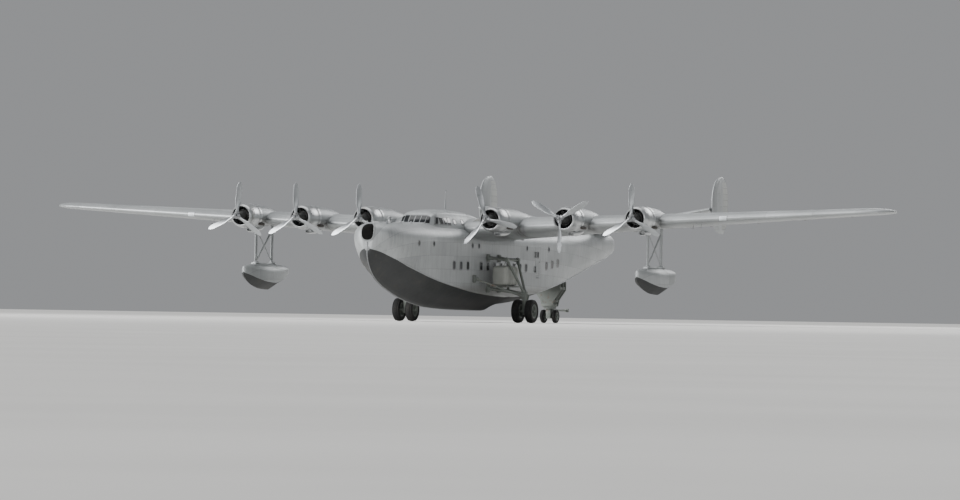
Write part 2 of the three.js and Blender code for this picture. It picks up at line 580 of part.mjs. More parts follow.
// FLOATS under the outer nacelles. Columns: share of the length, keel, chine half-beam, chine, deck (shares).
const FLOAT_TABLE = [
  [0.0, 0.62, 0.05, 0.66, 0.86],
  [0.06, 0.36, 0.42, 0.56, 0.94],
  [0.18, 0.16, 0.76, 0.42, 0.98],
  [0.36, 0.03, 0.98, 0.30, 1.0],
  [0.55, 0.0, 1.0, 0.27, 1.0],
  [0.551, 0.1, 1.0, 0.32, 1.0],
  [0.75, 0.22, 0.82, 0.42, 0.98],
  [0.92, 0.44, 0.42, 0.58, 0.92],
  [1.0, 0.62, 0.06, 0.68, 0.84],
];
function floatShape(grow = 0) {
  const height = FLOAT.deckZ - FLOAT.keelZ;
  return loft(FLOAT_TABLE.map(([share, keel, half, chine, deck]) => {
    const b = half * FLOAT.halfBeam + grow;
    const z = (level) => FLOAT.keelZ + level * height;
    const ring = bothSides([[0, z(keel)], [b, z(chine)], [b * 1.02, mix(z(chine), z(deck), 0.45)],
      [b * 0.8, mix(z(chine), z(deck), 0.86)], [b * 0.4, z(deck) + grow - 0.02], [0, z(deck) + grow]],
    FLOAT.bow + share * FLOAT.length);
    return ring.map((p) => p.add(new THREE.Vector3(FLOAT.span * M, 0, 0)));
  }));
}

// Two streamlined legs, a diagonal between them and a foot plate on the float's deck.
const LEGS = { front: 13.3, rear: 15.8, chord: 0.17, flatten: 0.42, top: 6.6 };
function floatLegs() {
  const outer = ENGINES[2];
  const nacelle = nacelleShape(outer.nacelle).scale(1.001).translate(at(outer.span, outer.station, outer.z).toArray());
  const foot = FLOAT.deckZ - 0.06;
  const leg = (t0, t1, z0, z1, size = 1) => {
    const [from, to] = [at(FLOAT.span, t0, z0), at(FLOAT.span, t1, z1)];
    return bar(from, to, LEGS.chord * size * M, 8, LEGS.flatten);
  };
  const frame = union([
    leg(LEGS.front, LEGS.front, foot, LEGS.top),
    leg(LEGS.rear, LEGS.rear, foot, LEGS.top),
    leg(LEGS.front, LEGS.rear, foot + 0.2, 5.75, 0.6),
    box([FLOAT.span - 0.16, LEGS.front - 0.35, foot], [FLOAT.span + 0.16, LEGS.rear + 0.35, FLOAT.deckZ + 0.06]),
  ]);
  return cutFixed(frame, [floatShape(SEAT_GAP / M), nacelle, grownWing]);
}

// BEACHING GEAR. A post between twin wheels, tied to the hull's side by three pairs of struts.
const WHEEL_SIDES = 16;
// Wheels are turned so that they stand on a flat, at exactly their radius from the axle.
const wheelPiece = (profile) => turned(profile, WHEEL_SIDES, 'x').rotate([180 / WHEEL_SIDES, 0, 0]);
function tyreShape(gear) {
  const [w, rim] = [gear.tyreWidth / 2, gear.rimRadius + SEAT_GAP / M];
  const r = gear.wheelRadius / Math.cos(Math.PI / WHEEL_SIDES);
  return wheelPiece([
    [rim, -0.75 * w], [mix(rim, r, 0.5), -w], [r, -0.55 * w], [r, 0.55 * w], [mix(rim, r, 0.5), w],
    [rim, 0.75 * w], [rim, -0.75 * w],
  ]);
}
function axleShape(gear) {
  const [half, rim] = [gear.wheelOffset + gear.tyreWidth / 2, gear.rimRadius];
  const w = gear.tyreWidth / 2;
  const disc = (middle) => wheelPiece([
    [0, middle - 0.35 * w], [0.72 * rim, middle - 0.35 * w], [rim, middle - 0.7 * w],
    [rim, middle + 0.7 * w], [0.72 * rim, middle + 0.35 * w], [0, middle + 0.35 * w],
  ]);
  const shaft = turned([[0, -half], [gear.axleRadius, -half], [gear.axleRadius, half], [0, half]], 12, 'x');
  return union([shaft, disc(-gear.wheelOffset), disc(gear.wheelOffset)]);
}
// A hole round the axle, with a little running room.
function axleHole(gear, s) {
  const reach = gear.postHalf + 0.1;
  const centre = at(s, gear.station, gear.wheelRadius);
  const side = new THREE.Vector3(reach * M, 0, 0);
  return holeTool(centre.clone().sub(side), centre.clone().add(side), gear.axleRadius * M + 0.5);
}

const grownHull = hullShape(SEAT_GAP / M);
const POST = { halfLength: 0.16, foot: 0.55, knee: 1.85 };
// The two frames of each leg stand fore and aft of its tank. Heights are at the hull's side and at the top.
const FRAME = { spread: 0.95, topSpan: 3.2, topZ: 4.0, upperZ: 4.1, lowerZ: 2.15, bar: 0.085, trayPost: 2.7 };
const DRAG_STRUT = { station: 12.9, z: 2.75, foot: 1.65 };
const PAD = { width: 0.26, height: 0.24, depth: 0.1 };
const TANK = { inner: 2.25, outer: 3.28, low: 2.36, high: 3.62, corner: 0.16, halfLength: 1.2, tray: 0.08 };
function hullPad(t, z) {
  const side = hullAt(t).sideHalf;
  return box([side - 0.2, t - PAD.width, z - PAD.height], [side + PAD.depth, t + PAD.width, z + PAD.height]);
}
function beachingLeg() {
  const { span, station, postHalf } = MAIN_GEAR;
  const strut = (from, to, size = 1) => bar(from, to, FRAME.bar * size * M, 8);
  const parts = [
    box([span - postHalf, station - POST.halfLength, POST.foot],
      [span + postHalf, station + POST.halfLength, MAIN_GEAR.postTop]),
    box([TANK.inner, station - FRAME.spread - 0.1, TANK.low - TANK.tray],
      [TANK.outer, station + FRAME.spread + 0.1, TANK.low - SEAT_GAP / M]),
    strut(at(hullAt(DRAG_STRUT.station).sideHalf, DRAG_STRUT.station, DRAG_STRUT.z),
      at(span, station, DRAG_STRUT.foot), 0.8),
    hullPad(DRAG_STRUT.station, DRAG_STRUT.z),
  ];
  for (const side of [-1, 1]) {
    const t = station + side * FRAME.spread;
    const knee = at(span, station + side * 0.08, POST.knee);
    const top = at(FRAME.topSpan, t, FRAME.topZ);
    const trayT = mix(t, station + side * 0.08, (FRAME.trayPost - hullAt(t).sideHalf) / (span - hullAt(t).sideHalf));
    parts.push(
      strut(top, knee),
      strut(at(hullAt(t).sideHalf, t, FRAME.upperZ), top),
      strut(at(hullAt(t).sideHalf, t, FRAME.lowerZ), knee),
      box([FRAME.topSpan - 0.13, t - 0.13, FRAME.topZ - 0.13], [FRAME.topSpan + 0.13, t + 0.13, FRAME.topZ + 0.13]),
      box([FRAME.trayPost - 0.08, trayT - 0.08, FRAME.lowerZ - 0.15],
        [FRAME.trayPost + 0.08, trayT + 0.08, TANK.low - 0.01]),
      hullPad(t, FRAME.upperZ),
      hullPad(t, FRAME.lowerZ),
    );
  }
  return cutFixed(union(parts), [grownHull, axleHole(MAIN_GEAR, span)]);
}
const leg = beachingLeg();

// The buoyancy tank that floats the leg alongside the hull, a box with bevelled edges and drawn-in ends.
const tankCentre = at((TANK.inner + TANK.outer) / 2, MAIN_GEAR.station, (TANK.low + TANK.high) / 2);
function beachingTank() {
  const half = [(TANK.outer - TANK.inner) / 2, (TANK.high - TANK.low) / 2];
  const ring = (distance, inset) => {
    const [a, b, c] = [half[0] - inset, half[1], TANK.corner];
    return [[-a, -b + c], [-a + c, -b], [a - c, -b], [a, -b + c], [a, b - c - inset], [a - c, b - inset],
      [-a + c, b - inset], [-a, b - c - inset]]
      .map(([x, z]) => new THREE.Vector3(x, distance, z).multiplyScalar(M).add(tankCentre));
  };
  return loft([ring(-TANK.halfLength, 0.14), ring(-TANK.halfLength + 0.2, 0), ring(TANK.halfLength - 0.2, 0),
    ring(TANK.halfLength, 0.14)]);
}
const tank = beachingTank();

// Tail trolley: a cradle under the keel on a turntable, over a steered truck with a tow bar.
const KINGPIN = { radius: 0.08, top: 1.4 };
const CRADLE = { halfLength: 0.55, halfTop: 0.95, halfFoot: 0.4, top: 2.75 };
function cradleShape() {
  const ring = (t) => [[-CRADLE.halfFoot, TAIL_GEAR.turntableZ], [CRADLE.halfFoot, TAIL_GEAR.turntableZ],
    [CRADLE.halfFoot, 1.4], [CRADLE.halfTop, 2.2], [CRADLE.halfTop, CRADLE.top], [-CRADLE.halfTop, CRADLE.top],
    [-CRADLE.halfTop, 2.2], [-CRADLE.halfFoot, 1.4]].map(([s, z]) => at(s, t, z));
  const block = loft([ring(TAIL_GEAR.station - CRADLE.halfLength), ring(TAIL_GEAR.station + CRADLE.halfLength)]);
  const pinHole = holeTool(at(0, TAIL_GEAR.station, TAIL_GEAR.turntableZ - 0.1),
    at(0, TAIL_GEAR.station, KINGPIN.top + 0.03), KINGPIN.radius * M + 0.3);
  return block.subtract(afterBottomShape(SEAT_GAP / M)).subtract(grownHull).subtract(pinHole);
}
const TOW_BAR = { end: 34.6, half: 0.07, z: 0.86 };
function truckShape() {
  const t = TAIL_GEAR.station;
  const top = TAIL_GEAR.turntableZ - SEAT_GAP / M;
  const pin = bar(at(0, t, top - 0.05), at(0, t, KINGPIN.top), KINGPIN.radius * M, 16);
  const plate = bar(at(0, t, top - 0.08), at(0, t, top), 0.42 * M, 20);
  const body = box([-TAIL_GEAR.postHalf, t - 0.3, TAIL_GEAR.wheelRadius - 0.15], [TAIL_GEAR.postHalf, t + 0.3, top - 0.05]);
  const tow = box([-TOW_BAR.half, t + 0.2, TOW_BAR.z - TOW_BAR.half], [TOW_BAR.half, TOW_BAR.end, TOW_BAR.z + TOW_BAR.half]);
  const head = box([-0.16, TOW_BAR.end - 0.12, TOW_BAR.z - 0.12], [0.16, TOW_BAR.end, TOW_BAR.z + 0.12]);
  return union([pin, plate, body, tow, head]).subtract(axleHole(TAIL_GEAR, 0));
}

// Mooring bollard on the foredeck.
const BOLLARD = { station: 3.5, height: 0.34, radius: 0.09, base: 0.2 };
function bollardShape() {
  const deck = hullAt(BOLLARD.station).deckZ;
  const foot = at(0, BOLLARD.station, deck - 0.06);
  const top = at(0, BOLLARD.station, deck + BOLLARD.height);
  const plate = bar(foot, at(0, BOLLARD.station, deck + 0.05), BOLLARD.base * M, 16);
  const stem = bar(foot, top, BOLLARD.radius * M, 14);
  const cap = bar(at(0, BOLLARD.station, deck + BOLLARD.height - 0.05), top, 1.5 * BOLLARD.radius * M, 14);
  return union([plate, stem, cap]).subtract(grownHull);
}

// Aerial mast on the flight deck's roof.
const MAST = { station: 12.6, foot: 6.9, top: 8.35, chord: 0.09 };
function mastShape() {
  const slice = (t, z, size) => [0, 45, 90, 135, 180, 225, 270, 315].map((angle) => at(
    0.35 * size * MAST.chord * Math.sin(radians(angle)), t + size * MAST.chord * Math.cos(radians(angle)), z,
  ));
  const mast = loft([slice(MAST.station, MAST.foot, 1.5), slice(MAST.station + 0.22, MAST.top, 0.7)]);
  return mast.subtract(loft(canopyRings.map((ring) => ring.map((p) => p.clone().add(new THREE.Vector3(0, 0, SEAT_GAP))))));
}

// MATERIALS
const paint = (color, roughness, metalness) => new THREE.MeshStandardMaterial({ color, roughness, metalness });
const MATERIALS = {
  silver: paint('#b9bcbd', 0.42, 0.55),
  bottom: paint('#23262a', 0.6, 0.1),
  cowling: paint('#c6c8c8', 0.32, 0.8),
  engine: paint('#4a4b4c', 0.55, 0.6),
  blade: paint('#9da0a2', 0.3, 0.85),
  gear: paint('#6b6f6c', 0.6, 0.3),
  tyre: paint('#1b1b1c', 0.85, 0),
};

const flyingBoat = new THREE.Group();
flyingBoat.name = 'flying_boat';

// Adds a solid made in place as a mesh whose own origin is the given point.
function add(parent, name, body, material, origin = new THREE.Vector3()) {
  const geometry = geometryOf(body).translate(-origin.x, -origin.y, -origin.z);
  const mesh = new THREE.Mesh(geometry, material);
  mesh.name = name;
  mesh.position.copy(origin);
  parent.add(mesh);
  return mesh;
}
function addPair(parent, name, body, material, origin = new THREE.Vector3()) {
  add(parent, `${name}_port`, body, material, origin);
  add(parent, `${name}_starboard`, mirrored(body), material, new THREE.Vector3(-origin.x, origin.y, origin.z));
}

const airframe = new THREE.Group();
add(airframe, 'hull_body', hull, MATERIALS.silver);
add(airframe, 'planing_bottom_fore', foreBottom, MATERIALS.bottom);
add(airframe, 'planing_bottom_aft', afterBottom, MATERIALS.bottom);
add(airframe, 'flight_deck', canopy, MATERIALS.silver);
add(airframe, 'passenger_door', door, MATERIALS.silver, onHinge(DOOR.sill));
add(airframe, 'mooring_bollard', bollardShape(), MATERIALS.gear, at(0, BOLLARD.station, 6));
add(airframe, 'aerial_mast', mastShape(), MATERIALS.gear, at(0, MAST.station, MAST.foot));
add(airframe, 'wing_centre', wingCentre, MATERIALS.silver);
addPair(airframe, 'wing_outer', wingOuter, MATERIALS.silver);
addPair(airframe, 'flap', flap, MATERIALS.silver, flapHinges[0][0]);
addPair(airframe, 'aileron', aileron, MATERIALS.silver, aileronHinges[0][0]);
add(airframe, 'tailplane', tailplane, MATERIALS.silver);
addPair(airframe, 'elevator', elevator, MATERIALS.silver, elevatorHinges[0][0]);
addPair(airframe, 'fin', fin, MATERIALS.silver, at(FIN_SPAN, FIN.hingeStation, FIN.centreZ));
addPair(airframe, 'rudder', rudder, MATERIALS.silver, rudderHinges[0][0]);
flyingBoat.add(airframe);

// Engines are numbered from the port wing tip. Each propeller rests at its own angle.
const REST_ANGLES = [0, 180, -17, 0, 0, 6];
const powerPlants = new THREE.Group();
const engineBody = engineShape();
const propellerBody = propellerShape();
for (let number = 1; number <= 6; number += 1) {
  const side = number <= 3 ? 1 : -1;
  const place = ENGINES[number <= 3 ? 3 - number : number - 4];
  const hub = at(side * place.span, place.station, place.z);
  const plant = new THREE.Group();
  plant.position.copy(hub);
  const nacelle = nacelleShape(place.nacelle).translate([hub.x, hub.y, hub.z]).subtract(grownWing);
  add(plant, `nacelle_${number}`, nacelle.translate([-hub.x, -hub.y, -hub.z]), MATERIALS.cowling);
  add(plant, `engine_${number}`, engineBody, MATERIALS.engine);
  add(plant, `propeller_${number}`, propellerBody, MATERIALS.blade).rotation.y = radians(REST_ANGLES[number - 1]);
  powerPlants.add(plant);
}
flyingBoat.add(powerPlants);

const floats = new THREE.Group();
addPair(floats, 'float', floatShape(), MATERIALS.silver, at(FLOAT.span, FLOAT.bow, FLOAT.keelZ));
addPair(floats, 'float_legs', floatLegs(), MATERIALS.silver, at(FLOAT.span, LEGS.front, FLOAT.deckZ));
flyingBoat.add(floats);

const beaching = new THREE.Group();
addPair(beaching, 'beaching_leg', leg, MATERIALS.gear, at(MAIN_GEAR.span, MAIN_GEAR.station, 0));
addPair(beaching, 'beaching_tank', tank, MATERIALS.gear, tankCentre);
for (const [name, side] of [['port', 1], ['starboard', -1]]) {
  const wheels = new THREE.Group();
  wheels.position.copy(at(side * MAIN_GEAR.span, MAIN_GEAR.station, MAIN_GEAR.wheelRadius));
  add(wheels, `main_axle_${name}`, axleShape(MAIN_GEAR), MATERIALS.gear);
  for (const [where, sign] of [['outer', side], ['inner', -side]]) {
    const tyre = add(wheels, `main_tyre_${name}_${where}`, tyreShape(MAIN_GEAR), MATERIALS.tyre);
    tyre.position.x = sign * MAIN_GEAR.wheelOffset * M;
  }
  beaching.add(wheels);
}
add(beaching, 'tail_cradle', cradleShape(), MATERIALS.gear, at(0, TAIL_GEAR.station, TAIL_GEAR.turntableZ));
add(beaching, 'tail_truck', truckShape(), MATERIALS.gear, at(0, TAIL_GEAR.station, TAIL_GEAR.wheelRadius));
const tailWheels = new THREE.Group();
tailWheels.position.copy(at(0, TAIL_GEAR.station, TAIL_GEAR.wheelRadius));
add(tailWheels, 'tail_axle', axleShape(TAIL_GEAR), MATERIALS.gear);
for (const [name, sign] of [['port', 1], ['starboard', -1]]) {
  add(tailWheels, `tail_tyre_${name}`, tyreShape(TAIL_GEAR), MATERIALS.tyre).position.x = sign * TAIL_GEAR.wheelOffset * M;
}
beaching.add(tailWheels);
flyingBoat.add(beaching);

export default flyingBoat;
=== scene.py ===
# %% [markdown]
# # A six-engined flying boat on its beaching gear
# The CAD model is the fixed frame of this scene. It gives every hinge and every place, at half of the real
# size. Here the same curves are drawn again with far more points, so that skins look smooth, and each surface
# gets the finish of the real one: weathered aluminium, dull dark bottom paint, made near black so that it is
# also painted shade under the hull, oily castings, glass and rubber. All shapes are worked out in metres of
# the real aircraft: a span outboard, a station aft from the bow and a height.

# %% Load the frame
import math

import bmesh
import bpy
import numpy as np
from mathutils import Matrix, Vector


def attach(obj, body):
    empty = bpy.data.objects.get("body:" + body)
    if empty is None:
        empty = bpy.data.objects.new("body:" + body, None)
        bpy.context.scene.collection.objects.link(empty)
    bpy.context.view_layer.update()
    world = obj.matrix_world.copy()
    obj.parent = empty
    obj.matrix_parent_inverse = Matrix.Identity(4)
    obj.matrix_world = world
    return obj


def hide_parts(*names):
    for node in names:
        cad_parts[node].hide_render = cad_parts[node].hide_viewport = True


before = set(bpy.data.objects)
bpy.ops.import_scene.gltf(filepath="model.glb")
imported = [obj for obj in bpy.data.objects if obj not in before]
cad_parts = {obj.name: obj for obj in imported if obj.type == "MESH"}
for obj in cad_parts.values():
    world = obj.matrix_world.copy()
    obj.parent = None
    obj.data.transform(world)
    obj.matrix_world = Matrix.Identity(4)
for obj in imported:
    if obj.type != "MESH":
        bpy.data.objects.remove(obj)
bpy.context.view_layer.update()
SCALE = 0.5
LENGTH = 43.46
HALF_SPAN = 28.7

# %% [markdown]
# The camera stands where the photographer stood, almost on the floor and far off the port bow. A long lens
# flattens the aircraft. The photograph shows it small in a wide hall, so this lens is about twice as long,
# from the same spot. The camera leans by just under one degree, as in the photograph.

# %% Camera
EYE = Vector((60.127, -152.678, 0.25))
AIM = Vector((-0.07, -1.37, 2.33))
FOCAL_PIXELS = 5050
PHOTO_WIDTH = 960
SENSOR_WIDTH = 36
LEAN = 0.0156
camera_data = bpy.data.cameras.new("photo_camera")
camera = bpy.data.objects.new("photo_camera", camera_data)
bpy.context.scene.collection.objects.link(camera)
camera_data.sensor_width = SENSOR_WIDTH
camera_data.lens = SENSOR_WIDTH * FOCAL_PIXELS / PHOTO_WIDTH
camera_data.clip_end = 2000
ahead = (AIM - EYE).normalized()
right = ahead.cross(Vector((0, 0, 1))).normalized()
up = right.cross(ahead)
lean_right = math.cos(LEAN) * right + math.sin(LEAN) * up
lean_up = math.cos(LEAN) * up - math.sin(LEAN) * right
turn = Matrix((lean_right, lean_up, -ahead)).transposed().to_4x4()
turn.translation = EYE
camera.matrix_world = turn
bpy.context.scene.camera = camera
print("lens in mm:", round(camera_data.lens))

# %% [markdown]
# Soft studio light: a pale world fills the shadows, and a broad key lamp shines from high on the camera's
# left, as in the photograph, where the stem and the left sides of the cowlings are brightest. It is a sun
# with a wide disc, so it lights the whole floor alike. Four weak softboxes give the metal something to
# mirror.

# %% Light
def linear(code):
    """A hex sRGB colour as linear RGBA: each channel is raised to about 2.4 above a short straight part."""
    channels = [int(code[i:i + 2], 16) / 255 for i in (0, 2, 4)]
    return [c / 12.92 if c <= 0.04045 else ((c + 0.055) / 1.055) ** 2.4 for c in channels] + [1.0]


world = bpy.data.worlds.new("pale_room")
bpy.context.scene.world = world
world.use_nodes = True
world.node_tree.nodes["Background"].inputs["Color"].default_value = linear("e9ebee")
world.node_tree.nodes["Background"].inputs["Strength"].default_value = 0.37

LAMPS = [
    # name, kind, spot, aim, width (m, or degrees of a sun), height (m), strength (W, or W per square metre)
    ("key_lamp", "SUN", (-36, -40, 36), (0, 0, 0), 34, 0, 4.0),
    ("left_softbox", "AREA", (-50, -36, 16), (0, -6, 2), 26, 20, 26000),
    ("fill_softbox", "AREA", (52, -40, 18), (2, -2, 2), 26, 18, 5000),
    ("top_softbox", "AREA", (0, 4, 40), (0, 0, 0), 40, 30, 8000),
    ("rear_softbox", "AREA", (10, 58, 24), (0, 4, 2), 30, 18, 9000),
]
for name, kind, spot, aim, width, height, strength in LAMPS:
    lamp_data = bpy.data.lights.new(name, kind)
    if kind == "SUN":
        lamp_data.angle = math.radians(width)
    else:
        lamp_data.shape = "RECTANGLE"
        lamp_data.size = width
        lamp_data.size_y = height
    lamp_data.energy = strength
    lamp = bpy.data.objects.new(name, lamp_data)
    bpy.context.scene.collection.objects.link(lamp)
    lamp.location = spot
    lamp.rotation_euler = (Vector(aim) - Vector(spot)).to_track_quat("-Z", "Y").to_euler()
print("lamps:", len(LAMPS))

# %% [markdown]
# Every finish is a small tree of shader nodes. One function adds a node, sets it and links it, and another
# lays a material's colour stops. Patterns read each piece's own map, which is in metres of the model, or its
# object coordinates, so that they stay on the surface.

# %% Material helpers
def add_node(material, kind, values=None, links=None, **settings):
    """Adds one node, sets its properties and values, and links its inputs to outputs of earlier nodes."""
    made = material.node_tree.nodes.new(kind)
    for key, value in settings.items():
        setattr(made, key, value)
    for key, value in (values or {}).items():
        made.inputs[key].default_value = value
    for key, socket in (links or {}).items():
        material.node_tree.links.new(socket, made.inputs[key])
    return made


def set_stops(ramp, stops):
    """Gives a Color Ramp its stops, each a position and a colour."""
    while len(ramp.color_ramp.elements) < len(stops):
        ramp.color_ramp.elements.new(0.5)
    for element, (position, colour) in zip(ramp.color_ramp.elements, stops):
        element.position = position
        element.color = colour
    return ramp


def new_material(name):
    """An empty material with its shader, and the shader itself."""
    material = bpy.data.materials.new(name)
    material.use_nodes = True
    return material, material.node_tree.nodes["Principled BSDF"]


def grey(value):
    """A linear grey, used as a mask colour."""
    return (value, value, value, 1.0)


# %% [markdown]
# Riveted aluminium sheet, painted with aluminium dope and weathered. Sheets differ a little in tone, their
# laps gather dirt, and rain draws streaks down the sides. Real rivets stand 25 mm apart, 12 mm on the model:
# too fine to show from here, so they are drawn 30 mm apart along the laps, and each lap as a 6 mm line.

# %% Sheet metal skins
def sheet_metal(
    name, base, dark, sheet, streaks, rough=(0.36, 0.56), metallic=0.55, lap=0.003, rivet_dark=0.5,
    stain=None,
):
    """Brick cells are the sheets, noise gives clouds and streaks, and a grid of dots beside the laps the
    rivets. A stain is a function that adds nodes for a mask, with the colour of the dirt that it lets
    through."""
    material, shader = new_material(name)
    uv = add_node(material, "ShaderNodeUVMap", uv_map="metres")
    here = add_node(material, "ShaderNodeTexCoord")
    sheets = add_node(
        material, "ShaderNodeTexBrick",
        {"Scale": 1.0, "Mortar Size": lap, "Mortar Smooth": 0.4, "Bias": 0.0, "Brick Width": sheet[0],
         "Row Height": sheet[1], "Color1": grey(0.36), "Color2": grey(0.64), "Mortar": grey(0.5)},
        {"Vector": uv.outputs["UV"]}, offset=0.5, squash=1.0,
    )
    clouds = add_node(
        material, "ShaderNodeTexNoise", {"Scale": 0.9, "Detail": 5.0, "Roughness": 0.62},
        {"Vector": here.outputs["Object"]},
    )
    fine = add_node(
        material, "ShaderNodeTexNoise", {"Scale": 14.0, "Detail": 4.0, "Roughness": 0.6},
        {"Vector": here.outputs["Object"]},
    )
    drawn = add_node(
        material, "ShaderNodeMapping", {"Scale": (5.0, 5.0, 0.35)}, {"Vector": here.outputs["Object"]},
    )
    rain = add_node(
        material, "ShaderNodeTexNoise", {"Scale": 2.2, "Detail": 5.0, "Roughness": 0.7},
        {"Vector": drawn.outputs["Vector"]},
    )
    rain_mask = set_stops(
        add_node(material, "ShaderNodeValToRGB", links={"Fac": rain.outputs["Fac"]}),
        [(0.46, grey(0.0)), (0.78, grey(streaks))],
    )
    tone = add_node(
        material, "ShaderNodeMix", {0: 0.45}, {6: sheets.outputs["Color"], 7: clouds.outputs["Color"]},
        data_type="RGBA", blend_type="MIX",
    )
    mid = [0.5 * (a + b) for a, b in zip(linear(base), linear(dark))]
    colour = set_stops(
        add_node(material, "ShaderNodeValToRGB", links={"Fac": tone.outputs[2]}),
        [(0.36, linear(dark)), (0.47, mid), (0.6, linear(base))],
    )
    soiled = add_node(
        material, "ShaderNodeMix", {7: linear("4b4a45")},
        {0: rain_mask.outputs["Color"], 6: colour.outputs["Color"]}, data_type="RGBA",
    )
    seam_tone = add_node(
        material, "ShaderNodeMath", {1: 0.55}, {0: sheets.outputs["Fac"]}, operation="MULTIPLY",
    )
    lapped = add_node(
        material, "ShaderNodeMix", {7: linear("3f403f")},
        {0: seam_tone.outputs["Value"], 6: soiled.outputs[2]}, data_type="RGBA",
    )
    beside = add_node(
        material, "ShaderNodeTexBrick",
        {"Scale": 1.0, "Mortar Size": 0.02, "Mortar Smooth": 0.0, "Bias": 0.0, "Brick Width": sheet[0],
         "Row Height": sheet[1]},
        {"Vector": uv.outputs["UV"]}, offset=0.5, squash=1.0,
    )
    dots = add_node(
        material, "ShaderNodeTexVoronoi", {"Scale": 34.0, "Randomness": 0.0}, {"Vector": uv.outputs["UV"]},
    )
    heads = add_node(
        material, "ShaderNodeMapRange", {"From Min": 0.2, "From Max": 0.12},
        {"Value": dots.outputs["Distance"]},
    )
    rivets = add_node(
        material, "ShaderNodeMath", links={0: heads.outputs["Result"], 1: beside.outputs["Fac"]},
        operation="MULTIPLY",
    )
    rivet_tone = add_node(
        material, "ShaderNodeMath", {1: rivet_dark}, {0: rivets.outputs["Value"]}, operation="MULTIPLY",
    )
    riveted = add_node(
        material, "ShaderNodeMix", {7: linear("585957")},
        {0: rivet_tone.outputs["Value"], 6: lapped.outputs[2]}, data_type="RGBA",
    )
    worn = riveted
    if stain:
        mask, dirt = stain(material, here.outputs["Object"])
        worn = add_node(
            material, "ShaderNodeMix", {7: linear(dirt)}, {0: mask, 6: riveted.outputs[2]}, data_type="RGBA",
        )
    gloss = add_node(
        material, "ShaderNodeMapRange", {"To Min": rough[0], "To Max": rough[1]},
        {"Value": clouds.outputs["Fac"]}, name="roughness_range",
    )
    ripple = add_node(
        material, "ShaderNodeBump", {"Strength": 0.22, "Distance": 0.006}, {"Height": clouds.outputs["Fac"]},
    )
    grooves = add_node(
        material, "ShaderNodeBump", {"Strength": 0.5, "Distance": 0.0015},
        {"Height": sheets.outputs["Fac"], "Normal": ripple.outputs["Normal"]}, invert=True,
    )
    buttons = add_node(
        material, "ShaderNodeBump", {"Strength": 0.5, "Distance": 0.001},
        {"Height": rivets.outputs["Value"], "Normal": grooves.outputs["Normal"]},
    )
    grain = add_node(
        material, "ShaderNodeBump", {"Strength": 0.12, "Distance": 0.001},
        {"Height": fine.outputs["Fac"], "Normal": buttons.outputs["Normal"]},
    )
    links = material.node_tree.links
    links.new(worn.outputs[2], shader.inputs["Base Color"])
    links.new(gloss.outputs["Result"], shader.inputs["Roughness"])
    links.new(grain.outputs["Normal"], shader.inputs["Normal"])
    shader.inputs["Metallic"].default_value = metallic
    return material


# %% [markdown]
# Two stains come on top. Where the boat floats, water leaves a brown line on the hull's side. Behind each
# exhaust, soot and oil lie along the underside of the nacelle and the wing, drawn out by the air and weaker
# further aft.

# %% Stains
HUB_SPANS = (2.15, 4.475, 6.7)
EXHAUST_OFFSET = 0.335
# the wing's dihedral of 3 degrees, as a slope
WING_SLOPE = 0.0524


def span_of(material, value, low, high, first=0.0, last=1.0):
    """A straight ramp of a value between two limits."""
    ramp = add_node(
        material, "ShaderNodeMapRange", {"From Min": low, "From Max": high, "To Min": first, "To Max": last},
        {"Value": value},
    )
    return ramp.outputs["Result"]


def combined(material, operation, first, second):
    """One step of arithmetic on two values, each a socket or a number."""
    made = add_node(material, "ShaderNodeMath", operation=operation)
    for k, value in enumerate((first, second)):
        if isinstance(value, (int, float)):
            made.inputs[k].default_value = value
        else:
            material.node_tree.links.new(value, made.inputs[k])
    return made.outputs["Value"]


def waterline_stain(material, place_socket):
    """Height plus up to 0.14 m of noise: full where that is under 1.1 m, gone over 1.29 m, and so ragged."""
    axes = add_node(material, "ShaderNodeSeparateXYZ", links={"Vector": place_socket})
    ragged = add_node(
        material, "ShaderNodeTexNoise", {"Scale": 3.0, "Detail": 5.0, "Roughness": 0.7},
        {"Vector": place_socket},
    )
    raggedness = combined(material, "MULTIPLY", ragged.outputs["Fac"], 0.14)
    height = combined(material, "ADD", axes.outputs["Z"], raggedness)
    line = span_of(material, height, 1.29, 1.1)
    return combined(material, "MULTIPLY", line, 0.45), "67645a"


def exhaust_stain(material, place_socket):
    """Distance of |x| from the nearest hub, less the exhaust's offset, is the distance from the soot's
    middle."""
    axes = add_node(material, "ShaderNodeSeparateXYZ", links={"Vector": place_socket})
    x = combined(material, "ABSOLUTE", axes.outputs["X"], 0.0)
    nearest = None
    for hub in HUB_SPANS:
        gap = combined(material, "ABSOLUTE", combined(material, "SUBTRACT", x, hub), 0.0)
        nearest = gap if nearest is None else combined(material, "MINIMUM", nearest, gap)
    off = combined(material, "ABSOLUTE", combined(material, "SUBTRACT", nearest, EXHAUST_OFFSET), 0.0)
    drawn = add_node(material, "ShaderNodeMapping", {"Scale": (9.0, 0.9, 4.0)}, {"Vector": place_socket})
    wisps = add_node(
        material, "ShaderNodeTexNoise", {"Scale": 1.6, "Detail": 5.0, "Roughness": 0.65},
        {"Vector": drawn.outputs["Vector"]},
    )
    beside = span_of(material, off, 0.24, 0.03)
    wispy = span_of(material, wisps.outputs["Fac"], 0.3, 0.62, 0.2, 1.0)
    reach = combined(material, "MULTIPLY", beside, wispy)
    begins = span_of(material, axes.outputs["Y"], -5.25, -4.8)
    fades = span_of(material, axes.outputs["Y"], -4.6, 0.4, 1.0, 0.1)
    along = combined(material, "MULTIPLY", begins, fades)
    low = combined(material, "SUBTRACT", axes.outputs["Z"], combined(material, "MULTIPLY", x, WING_SLOPE))
    under = span_of(material, low, 3.05, 2.88)
    soot = combined(material, "MULTIPLY", reach, along)
    return combined(material, "MULTIPLY", soot, combined(material, "MULTIPLY", under, 0.8)), "34312d"


